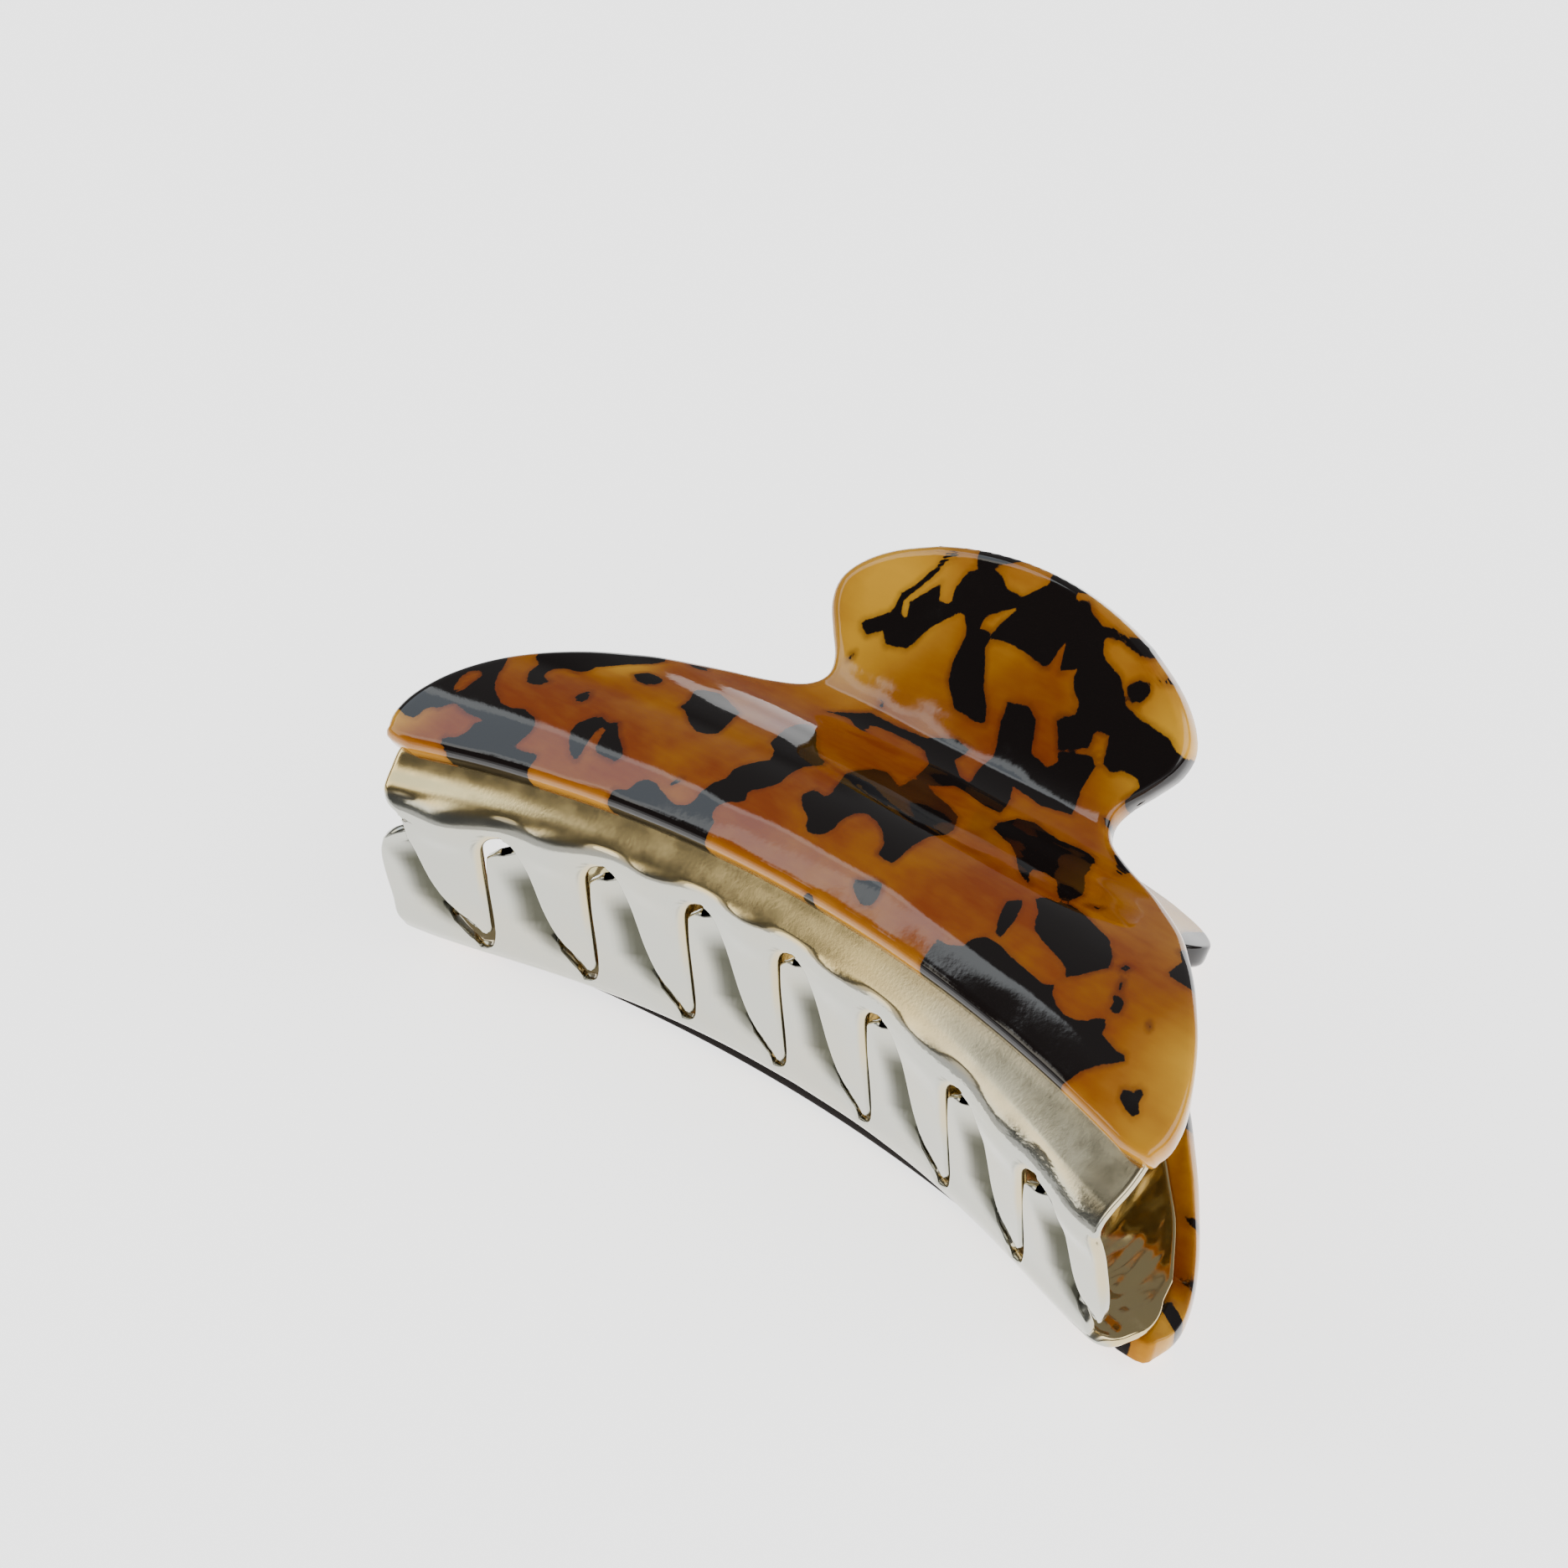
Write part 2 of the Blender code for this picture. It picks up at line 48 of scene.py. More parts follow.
# Covers
COVER_THICKNESS = 3.0
COVER_ROUND = 1.15
COVER_ARCH = 0.0029
COVER_DOME = 0.0008
ARCH_END = 29.0
COVER_TURN = math.radians(0.9)
COVER_SHIFT = -0.25
TAB_CROWN = 0.0102
TAB_CROWN_POWER = 6
COVER_PROFILE = (  # height, outer face's distance from the mid-plane
    (-3.0, 18.0), (0.0, 19.1), (4.0, 20.2), (8.0, 20.4), (12.0, 19.4), (16.0, 17.3),
    (20.0, 14.6), (24.0, 12.2), (28.0, 11.4), (32.0, 12.6), (36.0, 15.3), (40.0, 18.7),
    (44.0, 22.1), (48.0, 25.5))
COVER_HALF_WIDTH = (  # height, half width of the outline
    (-1.3, 48.2), (-0.6, 50.7), (1.0, 51.93), (4.0, 52.32), (7.0, 51.13), (10.5, 48.5), (14.0, 44.9),
    (18.0, 40.3), (22.0, 35.0), (24.6, 30.0), (26.5, 25.0), (28.2, 21.4), (30.0, 19.8),
    (32.0, 20.2), (34.2, 22.1), (36.6, 23.9), (38.6, 24.1), (41.0, 22.2), (43.0, 19.0), (44.9, 14.3))

# Jaws
METAL_THICKNESS = 1.2
METAL_ROUND = 0.5
BASE_DEPTH = 3.3
NECK_RELIEF = 0.65
NECK_RELIEF_START = 17.0
NECK_RELIEF_RISE = 7.0
TOOTH_COUNT = 8
MIDDLE_TOOTH = 3
TOOTH_PITCH = 12.5
SLIT_TO_SLOT = 2.5
SLOT_ROW = -7.76
LEVEL_SHIFT = 18.66
FLANGE_SECTION = (  # row, y and z added to the seat's edge, share of the teeth's arch, added dome
    (0.0, 0.0, 0.0, 0.0, 0.0), (-0.9, -0.85, -0.35, 0.0, 0.0), (-1.75, -1.6, -0.8, 0.05, 0.0),
    (-3.2, -2.9, -1.5, 0.18, 0.0), (-4.5, -4.0, -2.2, 0.4, -0.0001),
    (-5.6, -4.8, -3.0, 0.65, -0.0001), (-6.6, -5.2, -3.95, 0.9, -0.0001),
    (-7.6, -5.3, -4.9, 1.0, -0.0001), (-12.66, -5.35, -9.96, 1.0, -0.0005),
    (-18.66, -5.35, -15.96, 1.0, -0.0008), (-24.66, -5.3, -21.96, 1.0, -0.0018),
    (-28.66, -5.1, -25.96, 1.0, -0.0025))
TEETH_ARCH = (  # distance from the middle, how far the row of teeth drops there
    (0.0, 0.0), (10.0, 0.45), (20.0, 1.82), (30.0, 4.1), (37.0, 6.15), (42.0, 7.7), (46.0, 8.8),
    (51.0, 9.8), (55.0, 10.4))
UNTURN_ROW = -4.5
CURVED_EDGE = (  # x from the slit, level above the mid-plane, from slot top to tip
    (-10.0, 10.9), (-8.9, 10.6), (-8.0, 9.7), (-7.3, 7.9), (-6.8, 5.4), (-6.4, 2.5), (-6.05, 0.0),
    (-5.4, -3.0), (-4.5, -5.6), (-2.7, -8.6))
LOWER_CURVED_EDGE = (  # the same on the lower jaw, whose teeth are wider and rolled in there
    (-10.0, 10.9), (-9.95, 10.6), (-9.7, 9.5), (-8.6, 7.6), (-7.35, 5.4), (-7.35, 2.5), (-7.35, 0.0),
    (-7.0, -3.0), (-6.6, -5.6), (-5.7, -8.6))
STRAIGHT_EDGE = (
    (2.5, 10.9), (1.3, 10.4), (0.6, 9.3), (0.25, 7.7), (0.05, 5.4), (-0.1, 2.8), (-0.2, 0.0),
    (-0.3, -2.8), (-0.45, -5.4), (-0.7, -8.6))
LAST_EDGE = (  # outer edge of the last tooth, x from its slit
    (-0.3, 10.9), (0.1, 9.8), (0.25, 8.3), (0.3, 6.2), (0.4, 3.8), (0.5, 1.3), (0.5, -1.2),
    (0.4, -3.4), (0.2, -5.6), (-0.3, -8.4))
SHOULDER_SHIFT = (-1.6, 0.0, 0.0, 0.0, 0.0, 0.5, 1.2, 2.0)
LOWER_SHOULDER_SHIFT = (-1.6, 0.0, 0.0, 0.0, 0.0, 0.0, 0.0, 0.0)
TIP_SHIFT = (0.0, 0.0, 0.0, 0.0, 0.0, 0.0, 0.1, 1.7)
TIP_SAG = 1.5
SLOT_EASE = 3.0
SHOULDER_EASE = 12.0
BASE_TOP = (  # distance from the middle, height of the base's upper edge
    (0.0, 32.0), (8.0, 32.0), (10.0, 31.4), (12.5, 28.4), (15.0, 25.6), (20.0, 24.0), (25.0, 22.6),
    (31.0, 20.9), (36.5, 17.9), (41.0, 14.7), (45.0, 11.3), (47.5, 8.2), (49.5, 5.4))
LEFT_END = (  # row, x of the jaw's end beside its first tooth
    (-7.4, -47.3), (-6.0, -49.2), (-4.0, -50.4), (-2.0, -50.8), (0.0, -50.8), (2.5, -50.3),
    (5.4, -48.8))
RIGHT_END = (  # row, x of the jaw's end beside its last tooth
    (-7.4, 49.7), (-6.0, 49.7), (-4.0, 50.0), (-2.0, 50.4), (0.0, 50.5), (2.5, 49.9), (5.4, 48.6))

# Hinge
HINGE_HEIGHT = 23.0
EAR_RADIUS = 2.9
EAR_THICKNESS = 1.3
EAR_OUTER = 12.75
EAR_INNER = 11.15
EAR_ROOT = (17.5, 20.5, 23.5, 26.5)
PIN_HOLE = 1.5
EAR_ARC_START = 30.0
EAR_ARC = 240.0
ARC_SIDES = 32
EAR_ROOT_STEPS = 4

# The curved sides of the lower teeth, rolled inward below CURL_START
CURL_WIDTH = 4.2
CURL_DEPTH = 3.2
CURL_END = 2.2
CURL_START = 6.4
CURL_REACH = 1.5
TOOTH_REACH = 8.0

# Detail that only the dressed model has
RIDGE_WAVE = 0.45
RIDGE_WAVE_FADE = 0.45
LOWER_REACH = 0.7
LOWER_EDGE_ROUND = 0.3
INNER_ROUND = 0.3
RIM_SAMPLE = 0.08
COVER_LINES = 88
COVER_COLUMNS = 190
EDGE_INSETS = (0.0, 0.07, 0.22, 0.45, 0.78, 1.2)
TOOTH_SHARES = (
    0.0, 0.008, 0.022, 0.042, 0.07, 0.1, 0.14, 0.19, 0.25, 0.32, 0.4, 0.48, 0.56, 0.64, 0.72, 0.79,
    0.85, 0.885, 0.905, 0.922, 0.94, 0.958, 0.978, 0.992, 1.0)
TOOTH_STEPS = (
    0.012, 0.03, 0.05, 0.075, 0.11, 0.15, 0.2, 0.26, 0.32, 0.38, 0.44, 0.5, 0.56, 0.62, 0.68, 0.74,
    0.8, 0.86, 0.91, 0.945, 0.97, 0.987, 1.0)
FLANGE_ROWS = (
    -0.3, -0.7, -1.1, -1.6, -2.2, -2.9, -3.6, -4.2, -4.6, -4.8, -5.0, -5.15, -5.3, -5.45, -5.6,
    -5.75, -5.95, -6.2, -6.5, -6.8, -7.05, -7.25, -7.45, -7.62, SLOT_ROW)
BASE_STEPS = (
    1.0, 0.997, 0.99, 0.98, 0.96, 0.93, 0.89, 0.85, 0.81, 0.77, 0.72, 0.66, 0.6, 0.54, 0.48, 0.41,
    0.34, 0.27, 0.2, 0.13, 0.06, 0.0)
FAR = 99.0  # stands for a distance past all that is looked at


def smooth_step(low, high, at):
    t = np.clip((at - low) / (high - low), 0.0, 1.0)
    return t * t * (3.0 - 2.0 * t)


def smooth_curve(table, column=1):
    """A smooth curve through a table's points, as a function of its first column."""
    knots = np.array([row[0] for row in table], dtype=float)
    values = np.array([row[column] for row in table], dtype=float)
    if knots[0] > knots[-1]:
        knots, values = knots[::-1], values[::-1]
    slopes = np.gradient(values, knots)

    def curve(at):
        at = np.clip(np.asarray(at, dtype=float), knots[0], knots[-1])
        i = np.clip(np.searchsorted(knots, at) - 1, 0, len(knots) - 2)
        span = knots[i + 1] - knots[i]
        t = (at - knots[i]) / span
        start = (2 * t**3 - 3 * t**2 + 1) * values[i] + (t**3 - 2 * t**2 + t) * span * slopes[i]
        return start + (3 * t**2 - 2 * t**3) * values[i + 1] + (t**3 - t**2) * span * slopes[i + 1]

    return curve


cover_profile = smooth_curve(COVER_PROFILE)
cover_half_width = smooth_curve(COVER_HALF_WIDTH)
flange_section = [smooth_curve(FLANGE_SECTION, column) for column in (1, 2, 3, 4)]
teeth_arch = smooth_curve(TEETH_ARCH)
base_top = smooth_curve(BASE_TOP)
left_end = smooth_curve(LEFT_END)
right_end = smooth_curve(RIGHT_END)
curved_edge_across = smooth_curve([(level, across) for across, level in LOWER_CURVED_EDGE])
curved_edge_share = smooth_curve([
    (point[1], i / (len(LOWER_CURVED_EDGE) - 1)) for i, point in enumerate(LOWER_CURVED_EDGE)])


def plain_cover_face(x, height):
    """Outer face of a cover: arched along its length low down, straight at the neck."""
    fall = np.clip(1.0 - np.clip(height, 0.0, None) / ARCH_END, 0.0, 1.0)
    bend = fall * fall * (3.0 - 2.0 * fall)
    y = height - COVER_ARCH * bend * x * x
    z = cover_profile(height) - COVER_DOME * bend * x * x
    return np.stack([x + 0.0 * height, y, z], axis=-1)


def set_on_jaw(points):
    """A cover's points, turned and shifted a little as it is glued to its jaw."""
    c, s = math.cos(COVER_TURN), math.sin(COVER_TURN)
    x, y = points[..., 0], points[..., 1]
    return np.stack([c * x - s * y + COVER_SHIFT, s * x + c * y, points[..., 2]], axis=-1)


def cover_face(x, height):
    return set_on_jaw(plain_cover_face(x, height))


def face_normal(face, x, row):
    step = 0.05
    along = face(x + step, row) - face(x - step, row)
    up = face(x, row + step) - face(x, row - step)
    across = np.cross(along, up)
    return across / np.linalg.norm(across, axis=-1, keepdims=True)


def base_depth(height):
    rise = np.clip((height - NECK_RELIEF_START) / NECK_RELIEF_RISE, 0.0, 1.0)
    return BASE_DEPTH + NECK_RELIEF * rise


def curved_side_inset(x, row):
    """How far a place on a lower tooth is from its curved side; large elsewhere."""
    level = row + LEVEL_SHIFT
    share = curved_edge_share(level)
    nearest = np.full_like(x, FAR)
    for tooth in range(TOOTH_COUNT):
        slit = (tooth - MIDDLE_TOOTH) * TOOTH_PITCH
        shoulder = LOWER_SHOULDER_SHIFT[tooth]
        shift = shoulder * np.minimum(1.0, share * SHOULDER_EASE)
        shift = shift + share * share * (TIP_SHIFT[tooth] - shoulder)
        inset = x - slit - curved_edge_across(level) - shift
        on_tooth = (inset > -CURL_REACH) & (inset < TOOTH_REACH)
        nearest = np.where(on_tooth, np.clip(inset, 0.0, None), nearest)
    return nearest


def curl_depth(x, row):
    """How far a lower tooth's curved side is rolled inward, behind its neighbour."""
    share = np.clip(1.0 - curved_side_inset(x, row) / CURL_WIDTH, 0.0, 1.0)
    return CURL_DEPTH * share**2 * (1.0 - smooth_step(CURL_END, CURL_START, row + LEVEL_SHIFT))


def ridge_wave(x, row):
    """The ridge under the flange is pressed in above each slot and stands proud between them."""
    wave = np.cos(2.0 * math.pi * (x - SLIT_TO_SLOT) / TOOTH_PITCH)
    wave = RIDGE_WAVE * wave * (1.0 - RIDGE_WAVE_FADE * smooth_step(-20.0, 30.0, x))
    window = smooth_step(-4.7, -5.7, row) * (1.0 - smooth_step(-8.2, -12.0, row))
    return np.stack([0.0 * x, wave * window, 0.0 * x], axis=-1)


def jaw_face(x, row):
    """Outer face of a jaw: seated under its cover for rows above 0, then flange and teeth."""
    high = np.clip(row, 0.0, None)
    depth = base_depth(row)[..., None]
    seat = plain_cover_face(x, high) - depth * face_normal(plain_cover_face, x, high)
    y, z, share, dome = [part(row) for part in flange_section]
    drop = share * (teeth_arch(np.abs(x)) - COVER_ARCH * x * x)
    unturn = np.clip(row / UNTURN_ROW, 0.0, 1.0)
    unturn = (unturn * unturn * (3.0 - 2.0 * unturn))[..., None]
    below = np.stack([0.0 * x, y - drop, z - dome * x * x], axis=-1)
    flange = set_on_jaw(seat) * (1.0 - unturn) + seat * unturn + below
    return np.where((row >= 0.0)[..., None], set_on_jaw(seat), flange)


def upper_jaw_face(x, row):
    return jaw_face(x, row) + ridge_wave(x, row)


def lower_jaw_face(x, row):
    """The lower jaw's outer face, with the curved side of each tooth rolled inward."""
    rolled = np.stack([0.0 * x, curl_depth(x, row), 0.0 * x], axis=-1)
    return jaw_face(x, row) + rolled


def to_rest(points, lower):
    """From the clip's frame in millimetres to the resting pose in metres."""
    x, y, z = points[..., 0], points[..., 1], points[..., 2]
    if lower:
        x, z = -x, -z
    c, s = math.cos(REST_TILT), math.sin(REST_TILT)
    return np.stack([x, y * c - z * s - MIDDLE_Y, y * s + z * c + LIFT], axis=-1) * MM


def new_object(name, vertices, faces, body, material, values=(), smooth=True):
    """A mesh object on a body; values are (attribute name, one number per vertex) pairs."""
    mesh = bpy.data.meshes.new(name)
    mesh.from_pydata([tuple(v) for v in vertices], [], faces)
    mesh.update()
    for title, numbers in values:
        layer = mesh.attributes.new(title, "FLOAT", "POINT")
        layer.data.foreach_set("value", np.asarray(numbers, dtype=np.float32))
    thing = bpy.data.objects.new(name, mesh)
    bpy.context.scene.collection.objects.link(thing)
    mesh.materials.append(material)
    if smooth:
        mesh.shade_smooth()
    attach(thing, body)
    return thing


def sheet_mesh(face, patches, thickness, edge_form, lower):
    """A solid sheet from patches of rows of (x, row) points on a face.

    edge_form gives, for the rim's x and row, how wide and how deep its outer edge is rounded.
    Returns the vertices, the faces, x and row of each vertex, and its distance to the rim.
    """
    index = {}
    params = []
    faces = []
    for rows in patches:
        ids = []
        for line in rows:
            one = []
            for x, row in line:
                key = (round(x, 4), round(row, 4))
                if key not in index:
                    index[key] = len(params)
                    params.append(key)
                one.append(index[key])
            ids.append(one)
        for low, high in zip(ids[:-1], ids[1:]):
            for i in range(len(low) - 1):
                quad = [low[i], low[i + 1], high[i + 1], high[i]]
                kept = [v for k, v in enumerate(quad) if v != quad[k - 1]]
                if len(kept) > 2:
                    faces.append(kept)
    params = np.array(params)
    x, row = params[:, 0], params[:, 1]
    points = face(x, row)
    normals = face_normal(face, x, row)
    # all patches wind the same way: outward along the face's normal
    first = faces[len(faces) // 2]
    a, b, c = points[first[0]], points[first[1]], points[first[2]]
    if np.dot(np.cross(b - a, c - a), normals[first[0]]) < 0:
        faces = [f[::-1] for f in faces]
    edges = {}
    for f in faces:
        for pair in zip(f, f[1:] + f[:1]):
            edges.setdefault(frozenset(pair), []).append(pair)
    rim = [pair[0] for pair in edges.values() if len(pair) == 1]
    samples = []
    forms = []
    for i, j in rim:
        count = max(1, int(np.linalg.norm(points[i] - points[j]) / RIM_SAMPLE))
        for k in range(count):
            samples.append(points[i] + (points[j] - points[i]) * k / count)
            forms.append(params[i] + (params[j] - params[i]) * k / count)
    forms = np.array(forms)
    widths, depths = edge_form(forms[:, 0], forms[:, 1])
    tree = kdtree.KDTree(len(samples))
    for i, p in enumerate(samples):
        tree.insert(p, i)
    tree.balance()
    near = [tree.find(p) for p in points]
    distance = np.array([found[2] for found in near])
    distance[[i for pair in rim for i in pair]] = 0.0
    which = np.array([found[1] for found in near])
    inside = np.clip(1.0 - distance / widths[which], 0.0, 1.0)
    depth = depths[which] * (1.0 - np.sqrt(1.0 - inside**2))
    back = np.clip(1.0 - distance / INNER_ROUND, 0.0, 1.0)
    back = INNER_ROUND * (1.0 - np.sqrt(1.0 - back**2))
    outer = points - normals * depth[:, None]
    inner = points - normals * (thickness - back)[:, None]
    count = len(points)
    solid = list(faces) + [[v + count for v in f[::-1]] for f in faces]
    for i, j in rim:
        solid.append([j, i, i + count, j + count])
    vertices = to_rest(np.concatenate([outer, inner]), lower)
    return vertices, solid, np.concatenate([params, params]), np.concatenate([distance, distance])


def cover_edge_form(x, row):
    return np.full_like(x, COVER_ROUND), np.full_like(x, COVER_ROUND)


def lower_cover_face(x, height):
    """The far cover reaches a little further past its jaw at the belly."""
    return cover_face(x, height - LOWER_REACH * smooth_step(1.5, -1.3, height))


def lower_cover_edge_form(x, row):
    """The far cover's belly edge is less rounded than the rest of its outline."""
    size = COVER_ROUND - 0.75 * smooth_step(2.0, 0.5, row)
    return size, size


def lower_edge_form(x, row):
    return np.full_like(x, LOWER_EDGE_ROUND), np.full_like(x, LOWER_EDGE_ROUND)


def upper_edge_form(x, row):
    """A slot's straight side and top are rolled broadly; a tooth's curved side is nearly sharp."""
    past_slit = np.mod(x, TOOTH_PITCH)
    tooth_row = row < SLOT_ROW + 0.05
    curved = tooth_row & (past_slit > 3.0) & (past_slit < 9.6)
    fade = smooth_step(-21.5, -16.0, row)
    width = np.where(curved, 0.4, 0.45 + 0.5 * fade)
    depth = np.where(curved, 0.35, 0.4 + 0.2 * fade)
    return np.where(tooth_row, width, METAL_ROUND), np.where(tooth_row, depth, METAL_ROUND)


def spread(start, end, count):
    return [start + (end - start) * i / count for i in range(1, count)]


def cover_rows():
    heights = [row[0] for row in COVER_HALF_WIDTH]
    low, high = heights[0], heights[-1]
    levels = [low + 0.9 * d for d in EDGE_INSETS]
    levels += spread(levels[-1], high - 0.7 * EDGE_INSETS[-1], COVER_LINES)
    levels += [high - 0.7 * d for d in EDGE_INSETS[::-1]]
    rows = []
    for h in levels:
        half = float(cover_half_width(h))
        above, below = cover_half_width(min(h + 0.05, high)), cover_half_width(max(h - 0.05, low))
        slope = float(above - below) / 0.1
        stretch = math.sqrt(1.0 + slope * slope)
        crown = TAB_CROWN * max(0.0, (h - low) / (high - low)) ** TAB_CROWN_POWER
        edge = [half - min(stretch, 6.0) * d for d in EDGE_INSETS]
        inner = edge[-1]
        xs = edge + spread(inner, -inner, COVER_COLUMNS) + [-e for e in edge[::-1]]
        rows.append([(x, h + crown * (half * half - x * x)) for x in xs[::-1]])
    return rows


def along_edge(edge, share):
    place = share * (len(edge) - 1)
    across = smooth_curve([(i, point[0]) for i, point in enumerate(edge)])
    level = smooth_curve([(i, point[1]) for i, point in enumerate(edge)])
    return float(across(place)), float(level(place))


def shared_row(tooth, left, share, row):
    """A row above the slots, which runs on from one tooth to the next."""
    line = []
    end_row = share * BASE_TOP[-1][1] if row is None else row
    for c in TOOTH_SHARES:
        x = left + TOOTH_PITCH * c
        if tooth == 0:
            x += (1.0 - c) * (float(left_end(end_row)) - left)
        if tooth == TOOTH_COUNT - 1:
            x += c * (float(right_end(end_row)) - left - TOOTH_PITCH)
        line.append((x, share * float(base_top(abs(x))) if row is None else row))
    return line


def jaw_patches(curved_edge, shoulders):
    patches = []
    for tooth in range(TOOTH_COUNT):
        slit = (tooth - MIDDLE_TOOTH) * TOOTH_PITCH
        left = slit - TOOTH_PITCH + SLIT_TO_SLOT
        rows = [shared_row(tooth, left, share, None) for share in BASE_STEPS]
        rows += [shared_row(tooth, left, 0.0, row) for row in FLANGE_ROWS]
        last = tooth == TOOTH_COUNT - 1
        for share in TOOTH_STEPS:
            start = along_edge(curved_edge, share)
            end = along_edge(LAST_EDGE if last else STRAIGHT_EDGE, share)
            sag = TIP_SAG * min(1.0, share * SLOT_EASE)
            ease = max(0.0, 1.0 - share * SLOT_EASE)
            shoulder = shoulders[tooth]
            start_x = slit + start[0] + shoulder * min(1.0, share * SHOULDER_EASE)
            start_x += share * share * (TIP_SHIFT[tooth] - shoulder)
            end_x = slit + end[0]
            if tooth == 0:
                start_x += ease * (float(left_end(SLOT_ROW)) - left - shoulder)
            line = []
            for c in TOOTH_SHARES:
                level = start[1] + (end[1] - start[1]) * c - sag * 4.0 * c * (1.0 - c)
                line.append((start_x + (end_x - start_x) * c, level - LEVEL_SHIFT))
            rows.append(line)
        patches.append(rows)
    return patches


def ear_mesh(x_middle, lower):
    """A hinge ear: a plate from the base to the pin, with its hole, between two planes."""
    rims = []
    for height in EAR_ROOT:
        x = np.array([x_middle])
        h = np.array([height])
        depth = base_depth(h)[..., None] + 0.5 * METAL_THICKNESS
        point = (cover_face(x, h) - depth * face_normal(cover_face, x, h))[0]
        rims.append((point[1], point[2]))
    arc = []
    for step in range(ARC_SIDES + 1):
        angle = math.radians(EAR_ARC_START - EAR_ARC * step / ARC_SIDES)
        arc.append((HINGE_HEIGHT + EAR_RADIUS * math.cos(angle), EAR_RADIUS * math.sin(angle)))
    outline = []
    for a, b in zip(rims[:-1], rims[1:]):
        for k in range(EAR_ROOT_STEPS):
            share = k / EAR_ROOT_STEPS
            outline.append((a[0] + (b[0] - a[0]) * share, a[1] + (b[1] - a[1]) * share))
    outline += [rims[-1]] + arc
    hole = []
    for y, z in outline:
        angle = math.atan2(z, y - HINGE_HEIGHT)
        hole.append((HINGE_HEIGHT + PIN_HOLE * math.cos(angle), PIN_HOLE * math.sin(angle)))
    points = []
    for x in (x_middle - 0.5 * EAR_THICKNESS, x_middle + 0.5 * EAR_THICKNESS):
        points += [(x, y, z) for y, z in outline] + [(x, y, z) for y, z in hole]
    count = len(outline)
    faces = []
    for i in range(count):
        j = (i + 1) % count
        faces.append([i, j, count + j, count + i])
        faces.append([2 * count + j, 2 * count + i, 3 * count + i, 3 * count + j])
        faces.append([j, i, 2 * count + i, 2 * count + j])
        faces.append([count + i, count + j, 3 * count + j, 3 * count + i])
    return to_rest(np.array(points), lower), faces


# The photograph's camera in the clip's frame, in millimetres; the picture is 1872 pixels wide
PICTURE = 1872.0
CAMERA_RIGHT = (0.78543719, 0.61594349, -0.06084433)
CAMERA_UP = (-0.42613922, 0.60944566, 0.66856664)
CAMERA_BACK = (0.44888058, -0.49918895, 0.74115897)
CAMERA_TARGET = (-4.942, 32.0, 0.0)
CAMERA_DISTANCE = 436.31
LENS = 88.26
SENSOR = 36.0
CAMERA_SHIFT = (-0.1069, 0.0034)


def seen_at(points):
    """Where points in the clip's frame show in the photograph, in its pixels."""
    from_target = points - np.array(CAMERA_TARGET)
    scale = LENS / SENSOR * PICTURE / (CAMERA_DISTANCE - from_target @ np.array(CAMERA_BACK))
    across = (0.5 - CAMERA_SHIFT[0]) * PICTURE + scale * (from_target @ np.array(CAMERA_RIGHT))
    down = (0.5 + CAMERA_SHIFT[1]) * PICTURE - scale * (from_target @ np.array(CAMERA_UP))
    return np.stack([across, down], axis=-1)


def on_upper_cover(pixels):
    """The x and height on the upper cover's face of places read from the photograph."""
    aim = np.array(pixels, dtype=float)
    grid = [(x, h) for x in range(-54, 55, 2) for h in range(-2, 47)]
    grid = np.array(grid, dtype=float)
    known = seen_at(cover_face(grid[:, 0], grid[:, 1]))
    start = [int(np.argmin(((known - place) ** 2).sum(axis=1))) for place in aim]
    found = grid[start]
    step = 0.05
    for _ in range(12):
        x, h = found[:, 0], found[:, 1]
        here = seen_at(cover_face(x, h))
        by_x = (seen_at(cover_face(x + step, h)) - here) / step
        by_h = (seen_at(cover_face(x, h + step)) - here) / step
        miss = aim - here
        size = by_x[:, 0] * by_h[:, 1] - by_x[:, 1] * by_h[:, 0]
        size = np.where(np.abs(size) < 4.0, 4.0 * np.where(size < 0.0, -1.0, 1.0), size)
        move_x = (miss[:, 0] * by_h[:, 1] - miss[:, 1] * by_h[:, 0]) / size
        move_h = (by_x[:, 0] * miss[:, 1] - by_x[:, 1] * miss[:, 0]) / size
        found = found + np.clip(np.stack([move_x, move_h], axis=-1), -1.0, 1.0)
    return found


def depth_inside(places, outlines):
    """Distance inside the nearest outline, negative outside them all."""
    best = np.full(len(places), -FAR)
    px, py = places[:, 0], places[:, 1]
    for outline in outlines:
        corners = np.array(outline, dtype=float)
        gap = np.full(len(places), FAR)
        inside = np.zeros(len(places), dtype=bool)
        for a, b in zip(corners, np.roll(corners, -1, axis=0)):
            along = b - a
            share = np.clip(((places - a) @ along) / max(float(along @ along), 1e-9), 0.0, 1.0)
            off = places - a - share[:, None] * along
            gap = np.minimum(gap, np.hypot(off[:, 0], off[:, 1]))
            if a[1] != b[1]:
                crosses = (a[1] > py) != (b[1] > py)
                inside ^= crosses & (px < (b[0] - a[0]) * (py - a[1]) / (b[1] - a[1]) + a[0])
        best = np.maximum(best, np.where(inside, gap, -gap))
    return best


